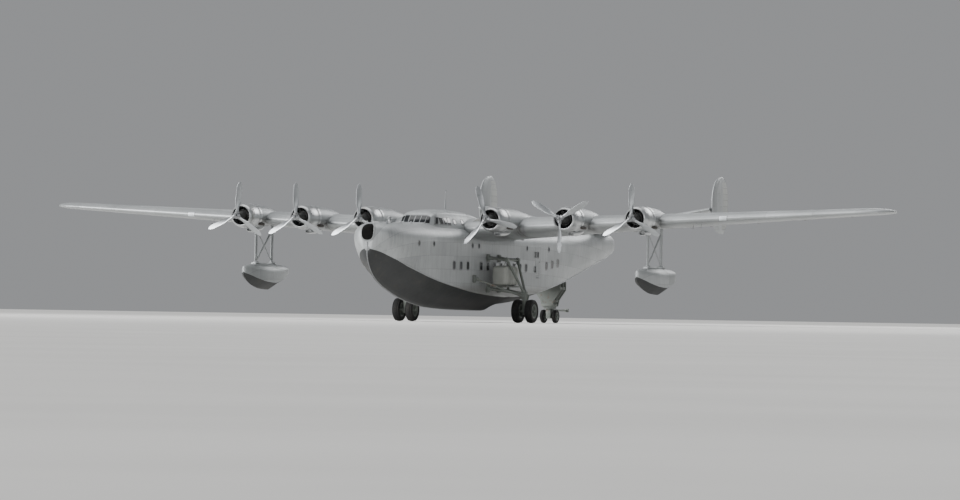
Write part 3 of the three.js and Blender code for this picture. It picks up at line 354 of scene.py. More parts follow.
hull_skin = sheet_metal("doped_aluminium_hull", "aeb1b2", "949798", (1.3, 0.42), 0.3, stain=waterline_stain)
wing_skin = sheet_metal("doped_aluminium_wing", "acafb0", "929596", (1.5, 0.5), 0.12, stain=exhaust_stain)
tail_skin = sheet_metal("doped_aluminium_tail", "adb0b1", "939697", (0.9, 0.36), 0.16)
fabric_skin = sheet_metal(
    "doped_fabric", "a9aba9", "979998", (0.21, 8.0), 0.14, (0.5, 0.66), 0.25, 0.006, 0.25,
)
print("skins:", hull_skin.name, wing_skin.name, tail_skin.name)

# %% [markdown]
# Plain finishes share one recipe: a base colour broken by noise, a second colour that comes through in
# patches, and a roughness that follows it. Bare cowling metal is nearly a mirror dulled by polish, castings
# are dark and oily, steel tubes rust where paint has chipped, and rubber is dusty.

# %% Other finishes
def worn_finish(name, base, patch, scale, cover, rough, metallic, bump, distance=0.002):
    """Noise at a given scale picks where the patch colour shows; its share is the cover."""
    material, shader = new_material(name)
    here = add_node(material, "ShaderNodeTexCoord")
    clouds = add_node(
        material, "ShaderNodeTexNoise", {"Scale": scale, "Detail": 8.0, "Roughness": 0.65},
        {"Vector": here.outputs["Object"]},
    )
    broad = add_node(
        material, "ShaderNodeTexNoise", {"Scale": scale * 0.16, "Detail": 3.0, "Roughness": 0.6},
        {"Vector": here.outputs["Object"]},
    )
    both = add_node(
        material, "ShaderNodeMix", {0: 0.4}, {2: clouds.outputs["Fac"], 3: broad.outputs["Fac"]},
        data_type="FLOAT",
    )
    mask = set_stops(
        add_node(material, "ShaderNodeValToRGB", links={"Fac": both.outputs[0]}),
        [(0.62 - cover, grey(0.0)), (0.74 - cover * 0.8, grey(1.0))],
    )
    tinted = [0.8 * c for c in linear(base)[:3]] + [1.0]
    shade = set_stops(
        add_node(material, "ShaderNodeValToRGB", links={"Fac": broad.outputs["Fac"]}),
        [(0.35, tinted), (0.65, linear(base))],
    )
    colour = add_node(
        material, "ShaderNodeMix", {7: linear(patch)}, {0: mask.outputs["Color"], 6: shade.outputs["Color"]},
        data_type="RGBA",
    )
    roughness = add_node(
        material, "ShaderNodeMapRange", {"To Min": rough[0], "To Max": rough[1]},
        {"Value": clouds.outputs["Fac"]},
    )
    relief = add_node(
        material, "ShaderNodeBump", {"Strength": bump, "Distance": distance},
        {"Height": clouds.outputs["Fac"]},
    )
    links = material.node_tree.links
    links.new(colour.outputs[2], shader.inputs["Base Color"])
    links.new(roughness.outputs["Result"], shader.inputs["Roughness"])
    links.new(relief.outputs["Normal"], shader.inputs["Normal"])
    shader.inputs["Metallic"].default_value = metallic
    return material


# Bottom paint: near black. It is both the real dark bottom paint and painted shade for the undersides of the
# hull and floats.
bottom_paint_and_shade = worn_finish("dark_bottom_paint", "2a2c2d", "3b3a36", 7.0, 0.1, (0.5, 0.75), 0.0, 0.3)
cowl_metal = worn_finish("polished_cowling_aluminium", "bcbebf", "93928e", 5.0, 0.08, (0.22, 0.4), 0.85, 0.05)
tank_paint = worn_finish("pale_tank_paint", "b0b2ac", "7d6a5a", 6.0, 0.05, (0.45, 0.65), 0.1, 0.3)
duct_paint = worn_finish("sooty_duct_paint", "2a2a29", "1a1918", 9.0, 0.15, (0.5, 0.8), 0.2, 0.3)
casting_metal = worn_finish("oily_cast_aluminium", "5d5e5e", "2f2b27", 22.0, 0.14, (0.35, 0.6), 0.6, 0.5)
fin_metal = worn_finish("blackened_cylinder_steel", "3a3a3b", "4c4034", 24.0, 0.08, (0.45, 0.65), 0.6, 0.4)
blade_metal = worn_finish("bare_blade_aluminium", "a3a6a8", "7c7e80", 9.0, 0.08, (0.26, 0.42), 0.85, 0.15)
steel_bright = worn_finish("machined_steel", "8c8e90", "5b554d", 30.0, 0.08, (0.28, 0.45), 0.9, 0.2)
exhaust_steel = worn_finish("heat_stained_steel", "45403c", "2b2826", 18.0, 0.16, (0.5, 0.75), 0.4, 0.5)
gear_paint = worn_finish("chipped_gear_paint", "7a7f7a", "6a3f27", 9.0, 0.06, (0.5, 0.72), 0.1, 0.45)
tyre_rubber = worn_finish("dusty_tyre_rubber", "1d1d1e", "37342f", 11.0, 0.12, (0.72, 0.9), 0.0, 0.35)
deck_rubber = worn_finish("walkway_rubber", "6c6d6c", "7d7b76", 14.0, 0.12, (0.75, 0.9), 0.0, 0.4)
print("finishes so far:", len(bpy.data.materials))

# %% [markdown]
# Glass is dark from outside by day, because the cabin behind it is unlit. It is a smooth dark surface with a
# sharp reflection. The lamps at the wing tips are coloured glass with a little glow of their own.

# %% Glass
def clear_finish(name, colour, rough, coat, glow=0.0):
    """A smooth coloured surface under a clear coat; glow is the strength of its own light."""
    material, shader = new_material(name)
    here = add_node(material, "ShaderNodeTexCoord")
    smear = add_node(
        material, "ShaderNodeTexNoise", {"Scale": 6.0, "Detail": 3.0}, {"Vector": here.outputs["Object"]},
    )
    lighter = [min(1.0, 1.6 * c + 0.004) for c in linear(colour)[:3]] + [1.0]
    tint = set_stops(
        add_node(material, "ShaderNodeValToRGB", links={"Fac": smear.outputs["Fac"]}),
        [(0.35, linear(colour)), (0.75, lighter)],
    )
    material.node_tree.links.new(tint.outputs["Color"], shader.inputs["Base Color"])
    shader.inputs["Roughness"].default_value = rough
    shader.inputs["Coat Weight"].default_value = coat
    shader.inputs["Coat Roughness"].default_value = 0.04
    if glow:
        shader.inputs["Emission Color"].default_value = linear(colour)
        shader.inputs["Emission Strength"].default_value = glow
    return material


cabin_glass = clear_finish("dark_cabin_glass", "101315", 0.1, 0.15)
lamp_glass = clear_finish("clear_lamp_glass", "b8bdc0", 0.05, 1.0)
red_glass = clear_finish("red_lamp_glass", "8e1512", 0.08, 1.0, 0.3)
green_glass = clear_finish("green_lamp_glass", "0d6a33", 0.08, 1.0, 0.3)
print("finishes:", len(bpy.data.materials))

# %% [markdown]
# New pieces are grids of points. A grid is one array of rows and columns; a ring repeats its first column at
# its end, and a pole is a row of equal points. When a piece is made, equal points are merged, so seams and
# poles close, and closed shells get their faces turned outwards. Each grid is also its own map, in metres
# along and across.

# %% Grids and meshes
MIRROR = np.array([-1.0, 1.0, 1.0])


def place(s, t, z):
    """Real metres (span, station, height) to model metres, as an array of points."""
    s, t, z = np.broadcast_arrays(np.asarray(s, float), np.asarray(t, float), np.asarray(z, float))
    return np.stack([s * SCALE, (t - LENGTH / 2) * SCALE, z * SCALE], -1)


def offset(across, back, upwards):
    """A step in real metres as a step in model metres."""
    return np.array([across, back, upwards]) * SCALE


def map_in_metres(grid):
    """Length down the columns, then arc length along the rows, so that patterns keep their real size."""
    across = np.linalg.norm(np.diff(grid, axis=1), axis=2)
    u = np.concatenate([np.zeros((len(grid), 1)), np.cumsum(across, axis=1)], 1)
    down = np.linalg.norm(np.diff(grid, axis=0), axis=2).max(axis=1)
    v = np.concatenate([[0.0], np.cumsum(down)])
    u = u - 0.5 * u[:, -1:]
    return np.stack([np.broadcast_to(v[:, None], u.shape), u], -1)


def grid_faces(rows, columns, first):
    """The four corners of each cell of a grid whose points start at an index."""
    r, c = np.meshgrid(np.arange(rows - 1), np.arange(columns - 1), indexing="ij")
    a = (r * columns + c).ravel() + first
    return np.stack([a, a + 1, a + columns + 1, a + columns], -1)


def make_piece(name, grids, material, body, replaces=(), sharp=32, outward=True, keep=None):
    """One object from several grids, merged, smoothed below the sharp angle, riding on a body. Of the first
    grid only the cells marked in keep are drawn."""
    points, faces, maps, count = [], [], [], 0
    for grid in grids:
        cells = grid_faces(grid.shape[0], grid.shape[1], count)
        if keep is not None and grid is grids[0]:
            cells = cells[keep.ravel()]
        points.append(grid.reshape(-1, 3))
        maps.append(map_in_metres(grid).reshape(-1, 2))
        faces.append(cells)
        count += grid.shape[0] * grid.shape[1]
    points, faces, maps = np.concatenate(points), np.concatenate(faces), np.concatenate(maps)
    mesh = bpy.data.meshes.new(name)
    mesh.vertices.add(len(points))
    mesh.vertices.foreach_set("co", points.astype(np.float32).ravel())
    mesh.loops.add(faces.size)
    mesh.loops.foreach_set("vertex_index", faces.astype(np.int32).ravel())
    mesh.polygons.add(len(faces))
    mesh.polygons.foreach_set("loop_start", np.arange(0, faces.size, 4, dtype=np.int32))
    mesh.update(calc_edges=True)
    layer = mesh.uv_layers.new(name="metres")
    layer.uv.foreach_set("vector", maps[faces.ravel()].astype(np.float32).ravel())
    work = bmesh.new()
    work.from_mesh(mesh)
    bmesh.ops.remove_doubles(work, verts=work.verts, dist=2e-5)
    loose = [v for v in work.verts if not v.link_faces]
    bmesh.ops.delete(work, geom=loose, context="VERTS")
    if outward:
        bmesh.ops.recalc_face_normals(work, faces=work.faces)
    work.to_mesh(mesh)
    work.free()
    mesh.shade_smooth()
    mesh.set_sharp_from_angle(angle=math.radians(sharp))
    mesh.materials.append(material)
    piece = bpy.data.objects.new(name, mesh)
    bpy.context.scene.collection.objects.link(piece)
    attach(piece, body)
    if replaces:
        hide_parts(*replaces)
    return piece


# %% [markdown]
# Most of the aircraft is the same on both sides. These helpers mirror grids, join a half to its mirror image,
# fill a flat end, and close the ends of a stack of rings.

# %% Mirrors and ends
def mirrored(grids):
    """The same grids on the other side of the aircraft: each span changes its sign."""
    return [grid * MIRROR for grid in grids]


def both_sides(grids):
    """Grids of the port side and their mirror images."""
    return list(grids) + mirrored(grids)


def whole_from_half(half):
    """A port half, whose last column lies in the middle, with its mirror image as further columns."""
    return np.concatenate([half, half[:, ::-1][:, 1:] * MIRROR], 1)


def fan(ring, centre=None):
    """A flat end in two rows: the ring, and its middle or another centre repeated."""
    centre = ring.mean(axis=0) if centre is None else centre
    return np.stack([ring, np.broadcast_to(centre, ring.shape)])


def closed(rows):
    """Adds a pole row, the mean of the end row, at both ends of a stack of rings."""
    first = np.broadcast_to(rows[0].mean(axis=0), rows[0].shape)
    last = np.broadcast_to(rows[-1].mean(axis=0), rows[-1].shape)
    return np.concatenate([first[None], rows, last[None]])


# %% [markdown]
# Round parts are profiles turned about an axis. Pipes, struts and rails are rings carried along a path, and a
# bar runs straight between two points.

# %% Turned parts, tubes and bars
def lathe(profile, centre, axis=(0, 1, 0), sides=32):
    """A profile of (radius, distance) in real metres turned about an axis through a centre: across times
    cosine plus upwards times sine."""
    profile = np.asarray(profile, float) * SCALE
    along = np.array(Vector(axis).normalized())
    first = np.array([0.0, 0.0, 1.0]) if abs(along[2]) < 0.9 else np.array([1.0, 0.0, 0.0])
    across = np.cross(first, along)
    across /= np.linalg.norm(across)
    upwards = np.cross(along, across)
    angle = np.linspace(0, 2 * np.pi, sides + 1)
    ring = np.cos(angle)[:, None] * across + np.sin(angle)[:, None] * upwards
    return np.asarray(centre) + profile[:, :1, None] * ring + (profile[:, 1:, None] * along)


def pin(radius, low, high):
    """The profile of a plain round pin between two distances along its axis."""
    return [[0.0, low], [radius, low], [radius, high], [0.0, high]]


def tube(path, radius, sides=14, flatten=1.0, wide=(0, 0, 1)):
    """A round or flattened bar along a path of points, closed at its ends: at each point a ring square to the
    path. The radius is in real metres and may vary along the path."""
    path = np.asarray(path, float)
    radius = np.broadcast_to(np.asarray(radius, float) * SCALE, (len(path),))
    tangent = np.gradient(path, axis=0)
    tangent /= np.linalg.norm(tangent, axis=1)[:, None]
    wide = np.broadcast_to(np.asarray(wide, float), path.shape)
    side = np.cross(tangent, wide)
    weak = np.linalg.norm(side, axis=1) < 1e-3
    side[weak] = np.cross(tangent[weak], np.array([0.0, 1.0, 0.0]))
    side /= np.linalg.norm(side, axis=1)[:, None]
    lift = np.cross(side, tangent)
    angle = np.linspace(0, 2 * np.pi, sides + 1)
    ring = (
        flatten * np.cos(angle)[None, :, None] * side[:, None] + np.sin(angle)[None, :, None] * lift[:, None]
    )
    return closed(path[:, None] + radius[:, None, None] * ring)


def beam(start, end, half_wide, half_high, corner=0.2, bevel=0.1, up=(0, 0, 1), steps=5):
    """A bar of rounded rectangular section, four quarter circles about the corners, its ends drawn in by a
    bevel. Half its width and height are in real metres, corner and bevel are shares of the smaller."""
    start, end = np.asarray(start, float), np.asarray(end, float)
    half_wide, half_high = half_wide * SCALE, half_high * SCALE
    along = end - start
    length = np.linalg.norm(along)
    along /= length
    across = np.cross(along, np.asarray(up, float))
    across /= np.linalg.norm(across)
    lift = np.cross(across, along)
    r = corner * min(half_wide, half_high)
    b = bevel * min(half_wide, half_high)
    turn_angle = np.linspace(0, np.pi / 2, steps)
    quarter = [
        (sx, sy, turn_angle + k * np.pi / 2)
        for k, (sx, sy) in enumerate([(1, 1), (-1, 1), (-1, -1), (1, -1)])
    ]
    def section(inset):
        x = np.concatenate([sx * (half_wide - r) + (r - inset) * np.cos(a) for sx, sy, a in quarter])
        y = np.concatenate([sy * (half_high - r) + (r - inset) * np.sin(a) for sx, sy, a in quarter])
        return np.append(x, x[0]), np.append(y, y[0])
    rows = []
    for inset, distance in [
        (b, 0.0), (0.3 * b, 0.3 * b), (0.0, b), (0.0, length - b), (0.3 * b, length - 0.3 * b), (b, length),
    ]:
        x, y = section(inset)
        rows.append(start + distance * along + x[:, None] * across + y[:, None] * lift)
    return closed(np.array(rows))


# %% [markdown]
# Windows, lids and frames follow the surface under them. Each is a plate of rings that are pushed out along
# the surface's normal.

# %% Plates on a surface
def raised(surface, a, b, height):
    """Points of a surface pushed out along its normal, the cross product of its two slopes."""
    step = 1e-3
    normal = np.cross(
        surface(a + step, b) - surface(a - step, b), surface(a, b + step) - surface(a, b - step),
    )
    normal /= np.maximum(np.linalg.norm(normal, axis=-1), 1e-12)[..., None]
    return surface(a, b) + normal * np.asarray(height)[..., None]


def rounded(value, power):
    """A cosine or sine raised to a power, its sign kept: below one it makes a circle squarer."""
    return np.sign(value) * np.abs(value) ** power


def plate_on(surface, centre, half, rows, power=4.0, sides=36, spread=(1.0, 1.0)):
    """A plate that follows a surface, its rings superellipses of a power. Rows are (margin outside the half
    sizes in real metres, or None for the middle, and lift in model metres)."""
    angle = np.linspace(0, 2 * np.pi, sides + 1)
    cx, sy = rounded(np.cos(angle), 2 / power), rounded(np.sin(angle), 2 / power)
    grid = []
    for margin, lift in rows:
        wide, high = 0.0, 0.0
        if margin is not None:
            wide, high = half[0] + margin * spread[0], half[1] + margin * spread[1]
        a, b = centre[0] + wide * cx, centre[1] + high * sy
        grid.append(raised(surface, a, b, np.full_like(a, lift)))
    return np.array(grid)


FRAME_RING = [
    (-0.01, -0.004), (-0.01, 0.005), (0.0, 0.008), (0.045, 0.008), (0.06, 0.004), (0.06, -0.004),
    (-0.01, -0.004),
]
GLASS_PANE = [(None, 0.003), (0.0, 0.002), (0.0, -0.004), (None, -0.004)]


def window_on(surface, centre, half, power=4.0):
    """The pane and the frame of one window, each a plate of its own rows."""
    return [plate_on(surface, centre, half, rows, power) for rows in (GLASS_PANE, FRAME_RING)]


def lid(top, shoulder, edge, under):
    """The rows of a small lid: its top and edge above the skin, and its underside, closed to the middle."""
    return [(None, top), (-shoulder, top), (0.0, edge), (0.0, -under), (None, -under)]


def rectangle(a0, a1, b0, b1):
    """The four corners between two values of each of two coordinates."""
    return [(a0, b0), (a1, b0), (a1, b1), (a0, b1)]


# %% [markdown]
# The hull is a boat: a V bottom with hard chines, upright sides and a rounded deck. Its lines are the columns
# of one table, each a smooth curve through its points that never overshoots. They are drawn against the
# square root of the station, which rounds the bow.

# %% Hull lines
def smooth_curve(xs, ys):
    """Cubics that never overshoot: a slope is the harmonic mean of the steps beside it, or 0 at a turn."""
    xs, ys = np.asarray(xs, float), np.asarray(ys, float)
    steps = np.diff(ys) / np.diff(xs)
    slopes = np.concatenate([steps[:1], np.zeros(len(xs) - 2), steps[-1:]])
    same = steps[:-1] * steps[1:] > 0
    total = np.where(same, steps[:-1] + steps[1:], 1.0)
    slopes[1:-1] = np.where(same, 2 * steps[:-1] * steps[1:] / total, 0.0)

    def curve(x):
        x = np.asarray(x, float)
        i = np.clip(np.searchsorted(xs, x, side="right") - 1, 0, len(xs) - 2)
        h = xs[i + 1] - xs[i]
        k = np.clip((x - xs[i]) / h, 0, 1)
        start = ys[i] * (1 + 2 * k) * (1 - k) ** 2 + slopes[i] * h * k * (1 - k) ** 2
        return start + ys[i + 1] * k * k * (3 - 2 * k) + slopes[i + 1] * h * k * k * (k - 1)
    return curve


def mix(a, b, share):
    """A straight mix of two values."""
    return a + (b - a) * share


HULL_TABLE = np.array([
    # station, keel, chine half-beam, chine height, side half-beam, shoulder height, deck height
    [0.0, 4.35, 0.10, 4.45, 0.16, 5.12, 5.58],
    [0.5, 3.20, 0.64, 4.25, 1.00, 5.12, 5.95],
    [1.0, 2.80, 0.92, 4.05, 1.30, 5.10, 6.04],
    [2.0, 2.32, 1.26, 3.72, 1.56, 5.08, 6.09],
    [4.0, 1.74, 1.60, 3.20, 1.80, 5.06, 6.12],
    [6.0, 1.32, 1.78, 2.77, 1.88, 5.05, 6.15],
    [9.5, 0.92, 1.88, 2.28, 1.90, 5.05, 6.15],
    [14.0, 0.80, 1.90, 1.86, 1.90, 5.05, 6.15],
    [19.0, 0.78, 1.88, 1.68, 1.90, 5.05, 6.15],
    [24.0, 1.10, 1.72, 1.95, 1.80, 5.05, 6.15],
    [29.0, 1.80, 1.42, 2.55, 1.60, 5.08, 6.16],
    [34.0, 2.90, 1.02, 3.35, 1.28, 5.15, 6.18],
    [39.0, 3.95, 0.58, 4.20, 0.82, 5.30, 6.20],
    [42.3, 4.60, 0.28, 4.80, 0.40, 5.42, 6.10],
    [43.46, 5.00, 0.06, 5.05, 0.08, 5.48, 5.80],
])
hull_curves = [smooth_curve(np.sqrt(HULL_TABLE[:, 0]), HULL_TABLE[:, k]) for k in range(1, 7)]
keel_at, chine_half_at, chine_z_at, side_half_at, shoulder_at, deck_at = [
    (lambda t, curve=curve: curve(np.sqrt(np.maximum(t, 0)))) for curve in hull_curves
]
side_share = smooth_curve([0, 0.28, 0.64, 1.0], [0, 0.5, 0.86, 1.0])
SHOULDER_POWER = 2.3
STEP_STATION = 19.0
SECOND_STEP = {"point": 33.0, "wings": 28.6}
FAIRING = 2.0


def hull_side(t, z):
    """Port side of the hull at a station and height: flared from chine to shoulder, then a superellipse."""
    chine, shoulder, deck = chine_z_at(t), shoulder_at(t), deck_at(t)
    low = np.clip((z - chine) / (shoulder - chine), 0, 1)
    flare = mix(chine_half_at(t), side_half_at(t), side_share(low))
    high = np.clip((z - shoulder) / (deck - shoulder), 0, 0.99999)
    crown = side_half_at(t) * (1 - high ** SHOULDER_POWER) ** (1 / SHOULDER_POWER)
    return place(np.where(z <= shoulder, flare, crown), t, z)


def hull_deck(s, t):
    """Height of the deck at a span and station, the top of the same superellipse."""
    across = np.clip(np.abs(s) / side_half_at(t), 0, 0.99999)
    rise = (1 - across ** SHOULDER_POWER) ** (1 / SHOULDER_POWER)
    return place(s, t, mix(shoulder_at(t), deck_at(t), rise))


print("stations in the hull's table:", len(HULL_TABLE))

# %% [markdown]
# The rows of the hull's grid stand at stations that crowd towards the bow. Its columns run from the middle of
# the underside, past the chine and up the side, to the middle of the deck. Two of them follow the sill and
# the head of the passenger door, so that whole cells can be left out for the doorway.

# %% Hull grid
DOOR = {"front": 23.9, "rear": 24.95, "sill": 3.15, "head": 4.95, "play": 0.012, "thick": 0.1, "recess": 0.24}
front, rear = DOOR["front"] - DOOR["play"], DOOR["rear"] + DOOR["play"]
sill, head = DOOR["sill"] - DOOR["play"], DOOR["head"] + DOOR["play"]
stations = np.unique(
    np.concatenate([
        LENGTH * np.linspace(0, 1, 60) ** 2.2, np.linspace(2, 43, 150),
        [front, rear, STEP_STATION, SECOND_STEP["point"], SECOND_STEP["point"] + FAIRING, LENGTH],
    ])
)
UNDER_CELLS = 4
SIDE_CELLS = (6, 10, 2)
t_rows = stations[:, None]
chine, shoulder, deck = chine_z_at(t_rows), shoulder_at(t_rows), deck_at(t_rows)
tall = shoulder - chine
sill_z = np.clip(sill, chine + 0.18 * tall, chine + 0.5 * tall)
head_z = np.clip(head, chine + 0.75 * tall, chine + 0.985 * tall)
side_z = np.concatenate(
    [
        mix(low, high, np.linspace(0, 1, cells, endpoint=False))
        for low, high, cells in zip((chine, sill_z, head_z), (sill_z, head_z, shoulder), SIDE_CELLS)
    ], 1,
)
side_points = hull_side(np.broadcast_to(t_rows, side_z.shape), side_z)
crown_angle = np.linspace(0, np.pi / 2, 19)
crown_points = place(
    side_half_at(t_rows) * np.cos(crown_angle) ** (2 / SHOULDER_POWER), t_rows,
    mix(shoulder, deck, np.sin(crown_angle) ** (2 / SHOULDER_POWER)),
)
under_z = mix(chine, keel_at(t_rows), np.clip((t_rows - SECOND_STEP["point"]) / FAIRING, 0, 1))
under_share = np.linspace(0, 1, UNDER_CELLS + 1)[:-1]
under_points = place(chine_half_at(t_rows) * under_share, t_rows, mix(under_z, chine, under_share))
hull_grid = whole_from_half(np.concatenate([under_points, side_points, crown_points], 1))
NOSE_BACK = 0.03
hull_grid[..., 1] = np.maximum(hull_grid[..., 1], place(0, NOSE_BACK, 0)[1])
column = np.arange(hull_grid.shape[1] - 1)
first_column = UNDER_CELLS + SIDE_CELLS[0]
door_columns = (column >= first_column) & (column < first_column + SIDE_CELLS[1])
middle_t = 0.5 * (stations[:-1] + stations[1:])
door_rows = (middle_t > front) & (middle_t < rear)
hull_keep = ~(door_rows[:, None] & door_columns[None, :])
hull_ends = [fan(hull_grid[k])[::-1] for k in (0, -1)]
print("cells left out for the door:", int((~hull_keep).sum()))

# %% [markdown]
# The doorway is a shallow recess. Its rim follows the skin round the gap, and its back is a flat wall inside
# the hull.

# %% Doorway and hull skin
rim_t = stations[(stations >= front - 1e-6) & (stations <= rear + 1e-6)]
rim_z = np.linspace(sill, head, SIDE_CELLS[1] + 1)
rim = np.concatenate([
    np.stack([rim_t, np.full_like(rim_t, sill)], 1), np.stack([np.full_like(rim_z, rear), rim_z], 1)[1:],
    np.stack([rim_t[::-1], np.full_like(rim_t, head)], 1)[1:],
    np.stack([np.full_like(rim_z, front), rim_z[::-1]], 1)[1:],
])
rim_out = hull_side(rim[:, 0], rim[:, 1])
rim_in = rim_out.copy()
RECESS_DEPTH = float(side_half_at(DOOR["rear"])) - DOOR["recess"]
rim_in[:, 0] = RECESS_DEPTH * SCALE
doorway = np.concatenate([rim_out[None], fan(rim_in)])
make_piece(
    "hull_skin", [hull_grid, *hull_ends, doorway], hull_skin, "airframe", ["hull_body"],
    keep=hull_keep,
)
print("hull grid:", hull_grid.shape)

# %% [markdown]
# The planing bottom is a hollow V under the chines, with a step across it where the boat breaks free of the
# water. Behind the step a second, pointed bottom rises to the tail. Both are separate shells under the hull,
# in a near-black bottom paint that is also painted shade: it stands for the shade under the chines.

# %% Planing bottoms
BOTTOM_POINTS = 21
SEAT_GAP = 0.001
v_share = smooth_curve([0, 0.04, 0.35, 0.7, 0.9, 1.0], [0, 0, 0.3, 0.62, 0.86, 1.0])
after_keel = smooth_curve([19, 24, 29, 34], [1.08, 1.38, 2.02, 2.86])


def bottom_grid(t, keel, half, seat):
    """Rows along the keel line; across, the hollow V, then up to the seat and back to the middle."""
    t, keel, half, seat = [np.asarray(v, float)[:, None] for v in (t, keel, half, seat)]
    x = half * np.linspace(0, 1, BOTTOM_POINTS)
    beam_half = np.maximum(chine_half_at(t), 1e-3)
    z = mix(keel, seat, v_share(x / beam_half))
    port = np.concatenate([place(x, t, z), place(half, t, seat), place(0 * half, t, seat)], 1)
    return whole_from_half(port)


def end_caps(grid):
    """Flat ends: each end row shrunk to a point half way between the keel and the middle of the seat."""
    return [fan(grid[k], grid[k, BOTTOM_POINTS + 1] * 0.5 + grid[k, 0] * 0.5) for k in (0, -1)]


fore_t = stations[stations <= STEP_STATION]
fore = bottom_grid(fore_t, keel_at(fore_t), chine_half_at(fore_t), chine_z_at(fore_t) - SEAT_GAP)
fore[..., 1] = np.maximum(fore[..., 1], place(0, NOSE_BACK, 0)[1])
make_piece(
    "planing_bottom_fore_skin", [fore, *end_caps(fore)], bottom_paint_and_shade, "airframe", ["planing_bottom_fore"],
)
aft_t = np.linspace(STEP_STATION + SEAT_GAP, SECOND_STEP["point"], 90)
aft_t = np.unique(np.concatenate([aft_t, [SECOND_STEP["wings"]]]))
taper = np.clip((aft_t - SECOND_STEP["wings"]) / (SECOND_STEP["point"] - SECOND_STEP["wings"]), 0, 1)
aft_half = np.minimum(chine_half_at(aft_t), mix(2.2, 0.12, taper))
aft = bottom_grid(aft_t, after_keel(aft_t), aft_half, chine_z_at(aft_t) - SEAT_GAP)
make_piece(
    "planing_bottom_aft_skin", [aft, *end_caps(aft)], bottom_paint_and_shade, "airframe", ["planing_bottom_aft"],
)
print("planing bottom grids:", fore.shape, aft.shape)

# %% [markdown]
# The flight deck is a low cabin on the hull's roof. Its section is upright to the eaves and rounded above
# them, and each column of its table is again a smooth curve along the cabin.

# %% Flight deck
CABIN_TABLE = np.array([
    # station, half-width at the deck, half-width at the eaves, height of the eaves, of the roof
    [7.3, 0.80, 0.70, 6.00, 6.12],
    [7.6, 1.04, 0.90, 6.26, 6.46],
    [8.05, 1.20, 1.02, 6.52, 6.82],
    [8.6, 1.30, 1.11, 6.64, 6.97],
    [9.6, 1.35, 1.15, 6.69, 7.04],
    [11.3, 1.38, 1.17, 6.70, 7.06],
    [13.2, 1.35, 1.13, 6.68, 7.02],
    [15.6, 1.18, 0.94, 6.52, 6.84],
    [17.8, 0.80, 0.52, 6.20, 6.42],
    [18.6, 0.58, 0.32, 6.03, 6.20],
    [19.4, 0.36, 0.14, 5.85, 5.98],
])
CABIN_FOOT = 5.6
CABIN_FRONT = 7.3
CROWN_POWER = 0.92
cabin_curves = [smooth_curve(CABIN_TABLE[:, 0], CABIN_TABLE[:, k]) for k in range(1, 5)]
cabin_eaves, cabin_roof = cabin_curves[2:]


def cabin_point(t, level):
    """Port side of the cabin. Level 0 is its foot, 1 the eaves and 2 the middle of the roof. The side stands
    upright for half of its height and then leans in; above the eaves is a quarter of a squared ellipse."""
    t, level = np.asarray(t, float), np.asarray(level, float)
    foot_half, eaves_half, eaves, roof = [curve(t) for curve in cabin_curves]
    low = np.clip(level, 0, 1)
    side = mix(foot_half, eaves_half, np.clip(2 * low - 1, 0, 1) ** 1.2)
    angle = np.clip(level - 1, 0, 1) * np.pi / 2
    crown = eaves_half * np.cos(angle) ** 0.88
    rise = mix(eaves, roof, np.sin(angle) ** CROWN_POWER)
    upright = level <= 1
    return place(np.where(upright, side, crown), t, np.where(upright, mix(CABIN_FOOT, eaves, low), rise))


cabin_t = np.unique(np.concatenate([np.linspace(CABIN_FRONT, 9.0, 26), np.linspace(9.0, 19.3, 58)]))[:, None]
levels = np.concatenate([np.linspace(0, 1, 9), np.linspace(1, 2, 15)[1:]])
cabin_grid = whole_from_half(cabin_point(*np.broadcast_arrays(cabin_t, levels)))
cabin_ends = [fan(cabin_grid[k], place(0, cabin_t[k, 0], CABIN_FOOT)) for k in (0, -1)]
cabin_floor = cabin_grid[:, [0, -1]]
make_piece(
    "flight_deck_skin", [cabin_grid, *cabin_ends, cabin_floor], hull_skin, "airframe", ["flight_deck"],
)
print("cabin grid:", cabin_grid.shape)

# %% [markdown]
# The wing is a cambered aerofoil that thins and narrows towards the tip. Where a flap or aileron hangs, the
# fixed part ends in a round cove, and the moving part has a round nose about the same hinge line, so that it
# can turn in the cove.

# %% Aerofoils
WING = {
    "rootLeadingEdge": 12.2, "tipLeadingEdge": 14.4, "rootChord": 8.6, "tipChord": 3.6, "rootZ": 5.75,
    "dihedral": 3.0, "rootIncidence": 3.0, "tipIncidence": 1.0, "rootThickness": 0.18, "tipThickness": 0.11,
    "camber": 0.022, "joint": 14.5, "roundFrom": 27.1, "hinge": 0.74, "nose": 1.05,
}
TRAILING_EDGE = 0.008


def thickness_at(x):
    """Half thickness of a four-digit aerofoil of unit thickness at a share of the chord."""
    x = np.clip(x, 0, 1)
    return 5 * (0.2969 * np.sqrt(x) - 0.126 * x - 0.3516 * x ** 2 + 0.2843 * x ** 3 - 0.1036 * x ** 4)


def camber_at(x, camber):
    """Two parabolas that meet at 40% of the chord."""
    return camber * np.where(x < 0.4, (0.8 * x - x * x) / 0.16, (0.2 + 0.8 * x - x * x) / 0.36)


def wing_values(s):
    """Chord, leading edge, height, incidence and thickness at a span, with the tip rounded off."""
    s = np.abs(np.asarray(s, float))
    share = s / HALF_SPAN
    chord = mix(WING["rootChord"], WING["tipChord"], share)
    nose = mix(WING["rootLeadingEdge"], WING["tipLeadingEdge"], share)
    out = np.clip((s - WING["roundFrom"]) / (HALF_SPAN - WING["roundFrom"]), 0, 1)
    rounding = np.sqrt(np.maximum(1 - out ** 2, 0.0004))
    nose = nose + 0.42 * chord * (1 - rounding)
    height = WING["rootZ"] + s * math.tan(math.radians(WING["dihedral"]))
    incidence = np.radians(mix(WING["rootIncidence"], WING["tipIncidence"], share))
    return chord * rounding, nose, height, incidence, mix(WING["rootThickness"], WING["tipThickness"], share)


def wing_point(s, x, z):
    """A share x of the chord aft and z chords above the chord line, turned by the incidence."""
    chord, nose, height, incidence, _ = wing_values(s)
    c, n = np.cos(incidence), np.sin(incidence)
    return place(s, nose + chord * (x * c + z * n), height + chord * (z * c - x * n))


